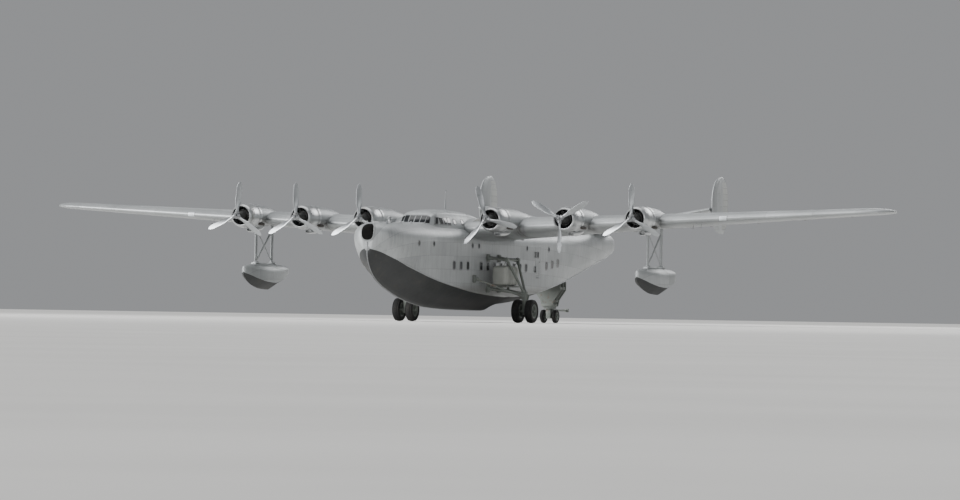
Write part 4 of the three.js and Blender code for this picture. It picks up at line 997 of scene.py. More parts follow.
def wing_half(s, x):
    """Half thickness in chords, never thinner than the trailing edge strip."""
    chord, _, _, _, thickness = wing_values(s)
    return np.maximum(thickness * thickness_at(x), TRAILING_EDGE / chord)


def wing_top(s, x):
    """The upper skin at a span and a share of the chord: the camber plus half the thickness."""
    return wing_point(s, x, camber_at(x, WING["camber"]) + wing_half(s, x))


def wing_under(s, x):
    """The lower skin: the camber less half the thickness."""
    return wing_point(s, x, camber_at(x, WING["camber"]) - wing_half(s, x))


print("wing's half thickness at the root, in chords:", round(float(wing_half(0.0, 0.3)), 3))

# %% [markdown]
# The tailplane and the fins have the same kind of section, but without camber. The tailplane slopes up
# towards its tips, where the fins stand, and from the side a fin is an oval.

# %% Tailplane and fin shapes
TAIL = {
    "halfSpan": 8.3, "rootLeadingEdge": 37.7, "tipLeadingEdge": 39.3, "rootChord": 4.5, "tipChord": 3.0,
    "rootZ": 6.22, "dihedral": 11, "thickness": 0.11, "hinge": 0.66, "nose": 1.08,
}


def tail_point(s, x, z):
    """A share x of the tailplane's chord aft and z chords up."""
    share = np.abs(s) / TAIL["halfSpan"]
    chord = mix(TAIL["rootChord"], TAIL["tipChord"], share)
    nose = mix(TAIL["rootLeadingEdge"], TAIL["tipLeadingEdge"], share)
    height = TAIL["rootZ"] + np.abs(s) * math.tan(math.radians(TAIL["dihedral"]))
    return place(s, nose + x * chord, height + z * chord)


def tail_half(s, x):
    """Half thickness of the tailplane in chords."""
    chord = mix(TAIL["rootChord"], TAIL["tipChord"], np.abs(s) / TAIL["halfSpan"])
    return np.maximum(TAIL["thickness"] * thickness_at(x), TRAILING_EDGE / chord)


FIN = {
    "centreZ": 8.16, "halfHeight": 1.94, "chord": 3.3, "hingeStation": 41.66, "hinge": 0.6, "thickness": 0.1,
    "nose": 1.06,
}
FIN_SPAN = TAIL["halfSpan"] + FIN["thickness"] * FIN["chord"] * 0.5


def fin_chord(u):
    """The fin is an oval: its chord shrinks with a rounded power of the height u, from -1 to 1."""
    return FIN["chord"] * np.maximum((1 - np.clip(np.abs(u), 0, 1) ** 2.4) ** (1 / 2.4), 0.05)


def fin_point(u, x, across):
    """A share x of the fin's chord aft of its leading edge and across chords outboard, at height u."""
    chord = fin_chord(u)
    leading = FIN["hingeStation"] - FIN["hinge"] * chord
    return place(FIN_SPAN + across * chord, leading + x * chord, FIN["centreZ"] + u * FIN["halfHeight"])


def fin_half(u, x):
    """Half thickness of the fin in chords."""
    return np.maximum(FIN["thickness"] * thickness_at(x), TRAILING_EDGE / fin_chord(u))


print("fins stand at a span of", round(FIN_SPAN, 3), "real metres")

# %% [markdown]
# One function draws any slice of these surfaces. It takes the rule for points and thickness, the spans of its
# rows, and what its rear end is: the trailing edge, a cove, or a nose for a moving part.

# %% Surface slices
def smooth_shares(first, last, count):
    """Shares of the chord from first to last, squared and so crowded where they start at the leading edge."""
    even = np.linspace(0, 1, count)
    return first + (last - first) * (even ** 2 if first == 0 else even)


def lip_of(half, camber, s, hinge, reach, sign):
    """Where the skin is a given reach from the hinge: its share of the chord and its height over the hinge.
    Each round takes the height at the last guess, and half way to the distance that Pythagoras gives for
    it."""
    ahead = 0.0
    for _ in range(24):
        height = float(
            camber_at(hinge - ahead, camber) - camber_at(hinge, camber) + sign * half(s, hinge - ahead)
        )
        ahead = 0.5 * (ahead + math.sqrt(max(reach ** 2 - height ** 2, 0.0)))
    return hinge - ahead, height


def slice_of(point, half, camber, spans, kind, hinge, nose_ratio, gap=0.012, square=(1, 1)):
    """Fixed: rear lip, over the top to the leading edge, back under, and round the cove. Moving: nose and
    rear. About the hinge and aft of it the sections lean until they are square to its line, so an end keeps
    its gap. The lean's share at the first and the last section is given by square."""
    rows = []
    line = point(np.array([5.0, 1.0]), hinge, camber_at(hinge, camber))
    aft_slope, up_slope = (line[0] - line[1])[1:] / (line[0] - line[1])[0]
    for s, share in zip(spans, np.linspace(*square, len(spans))):
        middle = float(camber_at(hinge, camber))
        chord = np.linalg.norm(point(s, 1.0, 0.0) - point(s, 0.0, 0.0)) / SCALE
        reach = float(half(s, hinge)) * nose_ratio + (gap / chord if kind == "cove" else 0.0)
        (lip_top, height_top), (lip_under, height_under) = [
            lip_of(half, camber, s, hinge, reach, sign) for sign in (1, -1)
        ]
        arc = np.linspace(
            math.asin(min(height_top / reach, 1.0)), math.asin(max(height_under / reach, -1.0)), 17,
        )
        arc_points = np.stack([hinge - reach * np.cos(arc), middle + reach * np.sin(arc)], 1)
        lips = (lip_top, lip_under)
        first = lips if kind == "nose" else (0, 0)
        last = lips if kind == "cove" else (1.0, 1.0)
        count = 14 if kind == "nose" else 42
        x_top, x_under = [smooth_shares(a, b, count) for a, b in zip(first, last)]
        upper = np.stack([x_top, camber_at(x_top, camber) + half(s, x_top)], 1)
        lower = np.stack([x_under, camber_at(x_under, camber) - half(s, x_under)], 1)
        if kind == "whole":
            outline = np.concatenate([upper[::-1], [[0.0, 0.0]], lower[1:]])
        elif kind == "cove":
            outline = np.concatenate([upper[::-1], [[0.0, 0.0]], lower[1:], arc_points[::-1]])
        else:
            outline = np.concatenate([upper[::-1], arc_points[1:-1], lower])
        outline = np.concatenate([outline, outline[:1]])
        behind = outline[:, 0] - hinge
        near = np.clip(behind / reach + 2, 0, 1) * share * chord
        leaning = s - near * (aft_slope * behind + up_slope * (outline[:, 1] - middle))
        rows.append(point(leaning, outline[:, 0], outline[:, 1]))
    return np.array(rows)


def with_ends(grid, which=(0, -1)):
    """The grid and its flat ends. Each end folds across the section, from its outline to its mean line."""
    ends = []
    for k in which:
        ring = grid[k]
        ends.append(np.stack([ring, 0.5 * (ring + ring[::-1])]))
    return [grid, *ends]


def with_all_ends(parts):
    """Parts that begin in the middle of the aircraft, where no end shows, and are closed everywhere else."""
    return with_ends(parts[0], (-1,)) + [grid for part in parts[1:] for grid in with_ends(part)]


# %% [markdown]
# The wing has a centre part and two outer parts, which meet at a joint. Its fixed skin ends in a cove along
# the bays of the flaps and ailerons. Each of these is a little shorter than its bay, so that it can move.

# %% Wing skins
def wing_part(spans, kind, square=(1, 1)):
    """A slice of the wing between spans."""
    return slice_of(
        wing_point, wing_half, WING["camber"], spans, kind, WING["hinge"], WING["nose"], square=square,
    )


FLAP_BAY, FLAP = (2.33, 14.22), (2.37, 14.18)
AILERON_BAY, AILERON = (14.93, 26.62), (14.97, 26.58)
centre_parts = [
    wing_part(np.linspace(0.0, FLAP_BAY[0], 4), "whole", (0, 1)),
    wing_part(np.linspace(*FLAP_BAY, 18), "cove"),
    wing_part(np.linspace(FLAP_BAY[1], WING["joint"], 3), "whole", (1, 0)),
]
tip_spans = mix(AILERON_BAY[1], HALF_SPAN, np.sin(np.linspace(0, np.pi / 2, 22)))
outer_parts = [
    wing_part(np.linspace(WING["joint"], AILERON_BAY[0], 3), "whole", (0, 1)),
    wing_part(np.linspace(*AILERON_BAY, 18), "cove"), wing_part(tip_spans, "whole", (1, 0)),
]
outer_grids = [grid for part in outer_parts for grid in with_ends(part)]
flap_grids = with_ends(wing_part(np.linspace(*FLAP, 20), "nose"))
aileron_grids = with_ends(wing_part(np.linspace(*AILERON, 20), "nose"))
make_piece(
    "wing_centre_skin", both_sides(with_all_ends(centre_parts)), wing_skin, "airframe", ["wing_centre"],
)


def make_pair(name, grids, material, body="airframe", replaced=""):
    """A piece of the port side and its mirror image. Braces in a name stand for the side."""
    for side, pair_grids in (("port", grids), ("starboard", mirrored(grids))):
        nodes = [replaced.format(side)] if replaced else []
        make_piece(name.format(side), pair_grids, material, body.format(side), nodes)


make_pair("wing_outer_{}_skin", outer_grids, wing_skin, "airframe", "wing_outer_{}")
make_pair("flap_{}_skin", flap_grids, wing_skin, "flap_{}", "flap_{}")
make_pair("aileron_{}_skin", aileron_grids, fabric_skin, "aileron_{}", "aileron_{}")
print("sections along a flap:", len(flap_grids[0]))

# %% [markdown]
# The tailplane is one piece with a bay for each elevator. At its tips it is cut back in the same way, to
# leave the rudders room to swing.

# %% Tailplane skins
def tail_part(spans, kind, square=(1, 1)):
    """A slice of the tailplane, which has no camber."""
    return slice_of(tail_point, tail_half, 0.0, spans, kind, TAIL["hinge"], TAIL["nose"], square=square)


ELEVATOR_BAY, ELEVATOR = (0.93, 7.62), (0.97, 7.58)
RUDDER_CLEARANCE = (7.79, 8.38)
tail_parts = [
    tail_part(np.linspace(0.0, ELEVATOR_BAY[0], 4), "whole", (0, 1)),
    tail_part(np.linspace(*ELEVATOR_BAY, 12), "cove"),
    tail_part(np.linspace(ELEVATOR_BAY[1], RUDDER_CLEARANCE[0], 3), "whole"),
    tail_part(np.linspace(*RUDDER_CLEARANCE, 4), "cove"),
]
elevator_grids = with_ends(tail_part(np.linspace(*ELEVATOR, 14), "nose"))
make_piece(
    "tailplane_skin", both_sides(with_all_ends(tail_parts)), tail_skin, "airframe", ["tailplane"],
)
make_pair("elevator_{}_skin", elevator_grids, fabric_skin, "elevator_{}", "elevator_{}")
print("sections along an elevator:", len(elevator_grids[0]))

# %% [markdown]
# The fins stand on edge at the tailplane's tips, with the same kind of section. Only the middle of each has a
# rudder.

# %% Fins and rudders
def fin_slice(heights, kind, gap=0.012):
    """The section at each height, with a cove or nose of one radius about the upright hinge line."""
    radius = FIN["thickness"] * float(thickness_at(FIN["hinge"])) * FIN["chord"] * FIN["nose"]
    rows = []
    for u in heights:
        chord = float(fin_chord(u))
        reach = (radius + (gap if kind == "cove" else 0.0)) / chord
        thick = float(fin_half(u, FIN["hinge"]))
        inner = min(thick / reach, 1.0)
        lip = FIN["hinge"] - math.sqrt(max(reach ** 2 - thick ** 2, 0.0))
        arc = np.linspace(math.asin(inner), -math.asin(inner), 13)
        arc_points = np.stack([FIN["hinge"] - reach * np.cos(arc), reach * np.sin(arc)], 1)
        if kind == "nose":
            x = np.linspace(lip, 1, 12)
        else:
            x = smooth_shares(0, lip if kind == "cove" else 1.0, 30)
        upper = np.stack([x, fin_half(u, x)], 1)
        lower = np.stack([x, -fin_half(u, x)], 1)
        if kind == "whole":
            outline = np.concatenate([upper[::-1], [[0.0, 0.0]], lower[1:]])
        elif kind == "cove":
            outline = np.concatenate([upper[::-1], [[0.0, 0.0]], lower[1:], arc_points[::-1]])
        else:
            outline = np.concatenate([upper[::-1], arc_points[1:-1], lower])
        outline = np.concatenate([outline, outline[:1]])
        rows.append(fin_point(u, outline[:, 0], outline[:, 1]))
    return np.array(rows)


CAP_HEIGHT = 0.3
RUDDER_GAP = 0.022
rudder_top = (FIN["halfHeight"] - CAP_HEIGHT) / FIN["halfHeight"]
play = RUDDER_GAP / FIN["halfHeight"]
round_top = np.sin(np.linspace(math.asin(rudder_top), np.pi / 2, 16))
fin_parts = [
    fin_slice(np.linspace(-rudder_top, rudder_top, 30), "cove"), fin_slice(round_top, "whole"),
    fin_slice(-round_top, "whole"),
]
fin_grids = [grid for part in fin_parts for grid in with_ends(part)]
rudder_grids = with_ends(fin_slice(np.linspace(-rudder_top + play, rudder_top - play, 30), "nose"))
make_pair("fin_{}_skin", fin_grids, tail_skin, "airframe", "fin_{}")
make_pair("rudder_{}_skin", rudder_grids, fabric_skin, "rudder_{}", "rudder_{}")

# %% [markdown]
# Each engine sits in a cowling ring with a rounded lip. Behind the ring cooling air leaves through a slot
# under a row of hinged flaps. The nacelle then tapers into the wing, with an oil cooler's scoop below and an
# exhaust on each side.

# %% Nacelles
ENGINES = [
    # span, height of the thrust line, station of the propeller, nacelle length
    (4.3, 6.45, 8.75, 7.9),
    (8.95, 6.52, 9.45, 7.1),
    (13.4, 6.6, 10.2, 6.2),
]
BEHIND = 0.62
REST_ANGLES = [0, 180, -17, 0, 0, 6]
COWL_FLAPS = 18


def engine_place(number):
    """Engines are numbered from the port tip: the hub's place in model metres, and the nacelle's length."""
    side = 1 if number <= 3 else -1
    span, z, station, length = ENGINES[3 - number if number <= 3 else number - 4]
    return place(side * span, station, z), length


def on_axis(hub, radius, angle, y):
    """A point at a radius and an angle from upright about a thrust line, y metres behind the propeller."""
    radius, angle, y = np.broadcast_arrays(radius, angle, y)
    return hub + np.stack([radius * np.sin(angle), y, radius * np.cos(angle)], -1) * SCALE


def cowl_grids(hub):
    """The ring: in at the duct, round the lip, over the skin, to a thin rear edge and back inside."""
    lip = np.linspace(-0.5, np.pi / 2, 10)
    outline = [[0.7, 1.42], [0.7, 0.5], [0.66, 0.3], [0.6, 0.13]]
    outline += [[0.63 - 0.045 * math.cos(a), 0.055 - 0.055 * math.sin(a)] for a in lip]
    outline += [
        [0.67, 0.03], [0.71, 0.1], [0.742, 0.2], [0.765, 0.34], [0.777, 0.5], [0.78, 0.8], [0.78, 1.34],
        [0.765, 1.345], [0.755, 1.3], [0.7, 1.42],
    ]
    return [lathe(np.array(outline) + [0, BEHIND], hub, sides=72)]


def nacelle_grids(hub, length):
    """The body behind the slot, tapering along a smooth curve to a point in the wing, and the firewall."""
    tapers = mix(1.3, length, np.array([0.3, 0.58, 0.83]))
    curve = smooth_curve([1.3, 1.9, *tapers, length], [0.7, 0.755, 0.74, 0.6, 0.36, 0.0])
    y = np.concatenate([[1.28], np.linspace(1.3, length, 50)])
    radius = curve(y)
    radius[0] = 0.0
    profile = np.stack([radius, y + BEHIND], 1)
    wall = np.array([[0.0, 1.5], [0.705, 1.5], [0.705, 1.52], [0.0, 1.52]]) + [0, BEHIND]
    return [lathe(profile, hub, sides=64)], [lathe(wall, hub, sides=48)]


def cowl_flap_grids(hub):
    """Short curved plates round the ring's rear edge, each opened a few centimetres at its rear."""
    grids = []
    for k in range(COWL_FLAPS):
        middle = 2 * np.pi * (k + 0.5) / COWL_FLAPS
        if abs(math.cos(middle)) > 0.94:
            continue
        angle = middle + np.linspace(-1, 1, 7)[None, :] * (np.pi / COWL_FLAPS) * 0.92
        y = np.array([1.27, 1.29, 1.62, 1.64, 1.62, 1.29, 1.27])[:, None] + BEHIND
        radius = np.array([0.778, 0.788, 0.812, 0.806, 0.798, 0.776, 0.778])[:, None]
        grid = on_axis(hub, radius, angle, y)
        grids += [grid, fan(grid[:, 0]), fan(grid[:, -1])]
    return grids


# %% [markdown]
# The oil cooler's scoop hangs under the nacelle, and an exhaust pipe comes out of the slot on each side. Two
# raised straps go round the cowling ring.

# %% Scoops, exhausts and straps
def scoop_grids(hub):
    """The oil cooler's duct: rounded sections that rise and narrow aft, with an open mouth."""
    y = np.array([2.22, 2.03, 2.0, 2.04, 2.2, 2.6, 3.0, 3.4, 3.8, 4.1])
    half = np.array([0.17, 0.18, 0.205, 0.235, 0.25, 0.262, 0.26, 0.235, 0.19, 0.13])
    low = np.array([-0.93, -0.95, -0.985, -1.02, -1.035, -1.03, -1.0, -0.93, -0.83, -0.72])
    high = np.array([-0.76, -0.75, -0.72, -0.69, -0.66, -0.62, -0.6, -0.56, -0.52, -0.48])
    angle = np.linspace(0, 2 * np.pi, 41)
    x = half[:, None] * rounded(np.cos(angle), 0.75)
    z = (0.5 * (low + high))[:, None] + (0.5 * (high - low))[:, None] * rounded(np.sin(angle), 0.75)
    rows = hub + np.stack([x, np.broadcast_to(y[:, None], x.shape), z], -1) * SCALE
    return [closed(rows)]


def exhaust_grids(hub):
    """On each side a pipe comes out of the slot, bends aft and ends in a slanted open mouth."""
    grids = []
    for sense in (-1, 1):
        bearing = sense * math.radians(128)
        path = [(0.66, 1.98), (0.76, 2.06), (0.82, 2.18), (0.845, 2.34), (0.85, 2.75)]
        centre = np.array([on_axis(hub, r, bearing, y) for r, y in path])
        outer_pipe, inner_pipe = [tube(centre, radius, 18)[1:-1] for radius in (0.085, 0.07)]
        grids.append(np.concatenate([outer_pipe, inner_pipe[::-1], outer_pipe[:1]]))
    return grids


def strap_grids(hub, radius, y, wide=0.02):
    """A thin raised band round the axis, of half-round section."""
    a = np.linspace(0, 2 * np.pi, 9)
    return lathe(np.stack([radius + 0.006 * np.sin(a), y + BEHIND + wide * np.cos(a)], 1), hub, sides=64)


for number in range(1, 7):
    hub, length = engine_place(number)
    body, wall = nacelle_grids(hub, length)
    make_piece(
        f"cowling_{number}", cowl_grids(hub) + [strap_grids(hub, 0.7815, y) for y in (0.52, 1.27)],
        cowl_metal, "airframe", [f"nacelle_{number}"], sharp=40,
    )
    make_piece(f"nacelle_{number}_skin", body, wing_skin, "airframe")
    make_piece(f"firewall_{number}", wall, duct_paint, "airframe")
    make_piece(f"cowl_flaps_{number}", cowl_flap_grids(hub), cowl_metal, "airframe")
    make_piece(f"oil_cooler_scoop_{number}", scoop_grids(hub), cowl_metal, "airframe")
    make_piece(f"exhausts_{number}", exhaust_grids(hub), exhaust_steel, "airframe")
print("nacelle lengths, real metres:", [engine[3] for engine in ENGINES])

# %% [markdown]
# The engine is a two-row radial. Each cylinder is a barrel of thin cooling fins with a domed head, two rocker
# boxes and two pushrod tubes. Real fins are 5 mm apart; these are eleven to a cylinder, which is as fine as
# the render can show.

# %% Engines
CYLINDERS_IN_ROW = 7
COOLING_FINS = 11
STUDS = 14
ROWS = [(1.15, 0.0), (1.55, math.pi / CYLINDERS_IN_ROW)]


def cylinder_grids(hub, angle, y):
    """Profile along the cylinder: fins are a square wave of the radius; then the head and its boxes."""
    foot = on_axis(hub, 0.0, angle, y)
    out = np.array([math.sin(angle), 0.0, math.cos(angle)])
    heights = [0.2, 0.24, 0.26]
    radii = [0.075, 0.09, 0.062]
    for k in range(COOLING_FINS):
        base = 0.27 + 0.028 * k
        wide = 0.1 if k > 5 else 0.088
        heights += [base, base + 0.004, base + 0.012, base + 0.016]
        radii += [0.066, wide, wide, 0.066]
    heights += [0.585, 0.615, 0.645, 0.66]
    radii += [0.095, 0.09, 0.06, 0.0]
    grids = [lathe(np.stack([radii, heights], 1), foot, out, sides=14)]
    side = np.array([math.cos(angle), 0.0, -math.sin(angle)])
    for sense in (-1, 1):
        head = foot + out * 0.63 * SCALE + side * sense * 0.05 * SCALE + offset(0, -0.055, 0)
        low, high = head - out * 0.035 * SCALE, head + out * 0.03 * SCALE
        grids.append(beam(low, high, 0.032, 0.04, 0.6, 0.4, up=(0, 1, 0)))
        rod_foot = foot + out * 0.22 * SCALE + side * sense * 0.045 * SCALE + offset(0, -0.16, 0)
        grids.append(tube(np.array([rod_foot, head]), 0.011, 8, wide=(0, 1, 0)))
    return grids


def crankcase_grids(hub):
    """The nose case swells from the shaft's seal to the drum that carries the cylinders, ringed by studs."""
    profile = np.array([
        [0.0, 0.205], [0.055, 0.205], [0.06, 0.24], [0.12, 0.25], [0.13, 0.3], [0.135, 0.42], [0.16, 0.55],
        [0.2, 0.66], [0.26, 0.78], [0.29, 0.86], [0.3, 0.9], [0.3, 1.9], [0.0, 1.9],
    ])
    grids = [lathe(profile, hub, sides=40)]
    for k in range(STUDS):
        stud = on_axis(hub, 0.245, 2 * np.pi * k / STUDS, 0.74)
        grids.append(lathe(pin(0.014, -0.03, 0.02), stud, sides=6))
    harness = on_axis(hub, 0.36, np.linspace(0, 2 * np.pi, 49), 0.93)
    outward = (harness - hub) * [1, 0, 1] / (0.36 * SCALE)
    grids.append(
        np.stack([
            harness + 0.02 * SCALE * (math.cos(a) * outward + math.sin(a) * np.array([0, 1, 0]))
            for a in np.linspace(0, 2 * np.pi, 9)
        ])
    )
    return grids


for number in range(1, 7):
    hub, _ = engine_place(number)
    cylinders = []
    for row_y, shift in ROWS:
        for k in range(CYLINDERS_IN_ROW):
            cylinders += cylinder_grids(hub, 2 * math.pi * k / CYLINDERS_IN_ROW + shift, row_y)
    make_piece(
        f"engine_cylinders_{number}", cylinders, fin_metal, "airframe", [f"engine_{number}"],
        sharp=40,
    )
    make_piece(
        f"crankcase_{number}", crankcase_grids(hub), casting_metal, "airframe", sharp=40,
    )
print("cylinders to an engine:", len(cylinders) // len(cylinder_grids(hub, 0.0, 0.0)))

# %% [markdown]
# A propeller blade is a thin aerofoil that twists from coarse pitch at the root to fine at the tip. Its shank
# is round and sits in a split clamp on the hub. Chord, thickness and twist are smooth curves along the blade.

# %% Propellers
BLADE_TABLE = np.array([
    # share of the radius, chord, thickness, pitch in degrees
    [0.05, 0.20, 0.19, 50],
    [0.20, 0.22, 0.15, 46],
    [0.45, 0.38, 0.065, 34],
    [0.80, 0.37, 0.034, 23],
    [0.94, 0.25, 0.022, 19],
    [1.00, 0.05, 0.010, 18],
])
PROPELLER_RADIUS = 2.15
BLADES = 3
blade_chord, blade_thick, blade_pitch = [
    smooth_curve(BLADE_TABLE[:, 0], BLADE_TABLE[:, k]) for k in (1, 2, 3)
]


def about_y(points, centre, angle):
    """Turns points about a fore-and-aft axis through a centre, as the CAD does at rest."""
    c, s = math.cos(angle), math.sin(angle)
    moved = points - centre
    return centre + np.stack(
        [moved[..., 0] * c + moved[..., 2] * s, moved[..., 1], moved[..., 2] * c - moved[..., 0] * s], -1,
    )


def blade_grid(hub, phase):
    """Sections from round at the root to an aerofoil: the front face is arched, the rear face nearly flat."""
    tip = 1 - 0.07 * np.linspace(1, 0, 17)[1:] ** 2
    share = np.concatenate([np.linspace(0.05, 0.3, 10), np.linspace(0.3, 0.93, 32)[1:], tip])
    angle = np.linspace(0, 2 * np.pi, 29)
    chord, thick, pitch = [curve(share)[:, None] for curve in (blade_chord, blade_thick, blade_pitch)]
    pitch = np.radians(pitch)
    thin = np.clip((share - 0.14) / 0.2, 0, 1)[:, None]
    along_chord = 0.5 * chord * np.cos(angle)
    arch = np.where(np.sin(angle) < 0, 1.0, 1.0 - 0.5 * thin)
    across = 0.5 * thick * np.sin(angle) * arch * (1 - 0.35 * thin * (np.cos(angle) + 1) / 2)
    x = along_chord * np.cos(pitch) - across * np.sin(pitch)
    y = along_chord * np.sin(pitch) + across * np.cos(pitch)
    z = np.broadcast_to(share[:, None] * PROPELLER_RADIUS, x.shape)
    return about_y(closed(hub + np.stack([x, y, z], -1) * SCALE), hub, phase)


def hub_grids(hub, phase):
    """A domed pitch-change cylinder in front, a barrel, and a split, bolted clamp round each blade's root."""
    dome = [
        [0.0, -0.33], [0.045, -0.325], [0.075, -0.3], [0.092, -0.25], [0.095, -0.15], [0.12, -0.13],
        [0.165, -0.08], [0.17, 0.0], [0.165, 0.1], [0.12, 0.14], [0.1, 0.18], [0.0, 0.18],
    ]
    grids = [lathe(dome, hub, sides=36)]
    clamp = [
        [0.0, 0.08], [0.115, 0.08], [0.125, 0.11], [0.125, 0.2], [0.135, 0.21], [0.135, 0.25], [0.12, 0.27],
        [0.105, 0.3], [0.0, 0.3],
    ]
    collar = [lathe(clamp, hub, (0, 0, 1), sides=30)]
    for side in (-0.14, 0.14):
        collar.append(
            beam(hub + offset(side, -0.05, 0.15), hub + offset(side, 0.05, 0.15), 0.025, 0.04, 0.5, 0.4)
        )
    for k in range(BLADES):
        grids += [about_y(grid, hub, phase + 2 * math.pi * k / BLADES) for grid in collar]
    return grids


for number in range(1, 7):
    hub, _ = engine_place(number)
    phase = math.radians(REST_ANGLES[number - 1])
    blades = [blade_grid(hub, phase + 2 * math.pi * k / BLADES) for k in range(BLADES)]
    make_piece(
        f"blades_{number}", blades, blade_metal, f"propeller_{number}", [f"propeller_{number}"],
        sharp=50,
    )
    make_piece(
        f"propeller_hub_{number}", hub_grids(hub, phase), steel_bright, f"propeller_{number}",
    )
    shaft = pin(0.045, 0.15, 0.42)
    make_piece(
        f"propeller_shaft_{number}", [lathe(shaft, hub, sides=24)], steel_bright, f"propeller_{number}",
    )
print("blade grid:", blades[0].shape)

# %% [markdown]
# The stabilising floats are small boats of their own, with a V bottom, a step and a rounded deck. Their lines
# come from a table of shares of the length and the height. Their bottoms have the hull's dark paint and
# painted shade.

# %% Floats
FLOAT = {"span": 13.4, "bow": 11.4, "length": 7.0, "keelZ": 1.9, "deckZ": 3.55, "halfBeam": 0.68}
FLOAT_TABLE = np.array([
    # share of the length, keel, half-beam, chine and deck, as shares
    [0.0, 0.62, 0.05, 0.66, 0.86],
    [0.06, 0.36, 0.42, 0.56, 0.94],
    [0.18, 0.16, 0.76, 0.42, 0.98],
    [0.36, 0.03, 0.98, 0.30, 1.0],
    [0.55, 0.0, 1.0, 0.27, 1.0],
    [0.75, 0.22, 0.82, 0.42, 0.98],
    [0.92, 0.44, 0.42, 0.58, 0.92],
    [1.0, 0.62, 0.06, 0.68, 0.84],
])
float_keel, float_half, float_chine, float_deck = [
    smooth_curve(np.sqrt(FLOAT_TABLE[:, 0]), FLOAT_TABLE[:, k]) for k in range(1, 5)
]


def float_values(share):
    """Half-beam, and heights of keel, chine and deck; the keel lifts behind the step at 55% of the length."""
    root = np.sqrt(share)
    height = FLOAT["deckZ"] - FLOAT["keelZ"]
    lift = np.where(share > 0.5505, 0.1 * np.clip(1.4 - share, 0, 1) / 0.85, 0.0)
    shares = (float_keel(root) + lift, float_chine(root) + 0.3 * lift, float_deck(root))
    return [float_half(root) * FLOAT["halfBeam"], *[FLOAT["keelZ"] + share * height for share in shares]]


def float_rows(share, bottom):
    """Bottom: hollow V from keel to chine and back over the top. Top: sides that round over into the deck."""
    half, keel, chine_z, deck_z = [v[:, None] for v in float_values(share)]
    t = FLOAT["bow"] + share[:, None] * FLOAT["length"]
    if bottom:
        across = np.linspace(0, 1, 11)
        port = np.concatenate(
            [place(half * across, t, mix(keel, chine_z, across ** 1.15)), place(half * 0, t, chine_z)], 1,
        )
    else:
        low = np.linspace(0, 0.5, 6)[:-1]
        angle = np.linspace(0, np.pi / 2, 12)
        side = place(half * (1 + 0.02 * np.sin(low * np.pi)), t, mix(chine_z, deck_z, low))
        crown_z = mix(mix(chine_z, deck_z, 0.5), deck_z, np.sin(angle) ** 0.9)
        crown = place(half * 1.02 * np.cos(angle) ** 0.8, t, crown_z)
        port = np.concatenate([place(half * 0, t, chine_z), side, crown], 1)
    return whole_from_half(port) + offset(FLOAT["span"], 0, 0)


float_share = np.concatenate([np.linspace(0, 1, 40) ** 2, np.linspace(0.1, 1, 40), [0.5504, 0.5506]])
float_bottom, float_top = [closed(float_rows(np.unique(float_share), bottom)) for bottom in (True, False)]
make_pair("float_{}_top", [float_top], tail_skin, "airframe", "float_{}")
make_pair("float_{}_bottom", [float_bottom], bottom_paint_and_shade)
print("float grids:", float_bottom.shape, float_top.shape)

# %% [markdown]
# Each float hangs under the wing on two streamlined legs, with thinner diagonals between them.

# %% Float legs
LEGS = {"front": 13.3, "rear": 15.8, "chord": 0.17, "flatten": 0.42}


def float_leg_grids():
    """Two streamlined legs and two thinner diagonals of flattened tube, on a foot with bolted flanges."""
    span, foot = FLOAT["span"], FLOAT["deckZ"] - 0.04
    front_t, rear_t = LEGS["front"], LEGS["rear"]
    lines = [
        # station and height of the foot and of the head, and the chord as a share of the legs' own
        (front_t, foot, front_t, 6.3, 1.0),
        (rear_t, foot, rear_t, 6.1, 1.0),
        (front_t, foot + 0.2, rear_t, 5.75, 0.6),
        (rear_t, foot + 0.2, front_t, 5.75, 0.3),
    ]
    grids = []
    for t0, z0, t1, z1, size in lines:
        path = place(span, np.linspace(t0, t1, 8), np.linspace(z0, z1, 8))
        grids.append(tube(path, LEGS["chord"] * size, 24, LEGS["flatten"], wide=(0, 1, 0)))
    foot_z = FLOAT["deckZ"] + 0.01
    grids.append(
        beam(place(span, front_t - 0.35, foot_z), place(span, rear_t + 0.35, foot_z), 0.16, 0.06, 0.5, 0.3)
    )
    for t in (front_t, rear_t):
        collar = [[0.0, 0.0], [0.26, 0.0], [0.25, 0.03], [0.2, 0.06], [0.15, 0.12], [0.0, 0.13]]
        grids.append(lathe(collar, place(span, t, FLOAT["deckZ"] + 0.05), (0, 0, 1), sides=28))
        for k in range(8):
            angle = 2 * math.pi * (k + 0.5) / 8
            bolt = place(span + 0.225 * math.cos(angle), t + 0.225 * math.sin(angle), FLOAT["deckZ"] + 0.08)
            grids.append(lathe(pin(0.018, 0.0, 0.03), bolt, (0, 0, 1), sides=6))
    return grids


float_legs = float_leg_grids()
make_pair("float_legs_{}_struts", float_legs, tail_skin, "airframe", "float_legs_{}")
print("parts of a float's legs:", len(float_legs))

# %% [markdown]
# On land the boat stands on gear that is bolted on in the water. Each main leg is a welded frame of tubes on
# padded feet against the hull, with a box post between twin wheels, and carries a tank that floats it
# alongside.

# %% Beaching legs
MAIN = {
    "span": 4.1, "station": 16.2, "radius": 0.75, "width": 0.48, "offset": 0.45, "rim": 0.42, "axle": 0.09,
}
TRUCK = {
    "span": 0.0, "station": 31.4, "radius": 0.45, "width": 0.28, "offset": 0.42, "rim": 0.25, "axle": 0.06,
}
FRAME = {
    "spread": 0.95, "top_span": 3.2, "top_z": 4.0, "upper_z": 4.1, "lower_z": 2.15, "bar": 0.085,
    "knee": 1.85, "tray_span": 2.7,
}
TRAY_BARS = 7
DRAG = {"station": 12.9, "z": 2.75, "foot": 1.65}
TANK = {"inner": 2.25, "outer": 3.28, "low": 2.36, "high": 3.62, "half_length": 1.2}


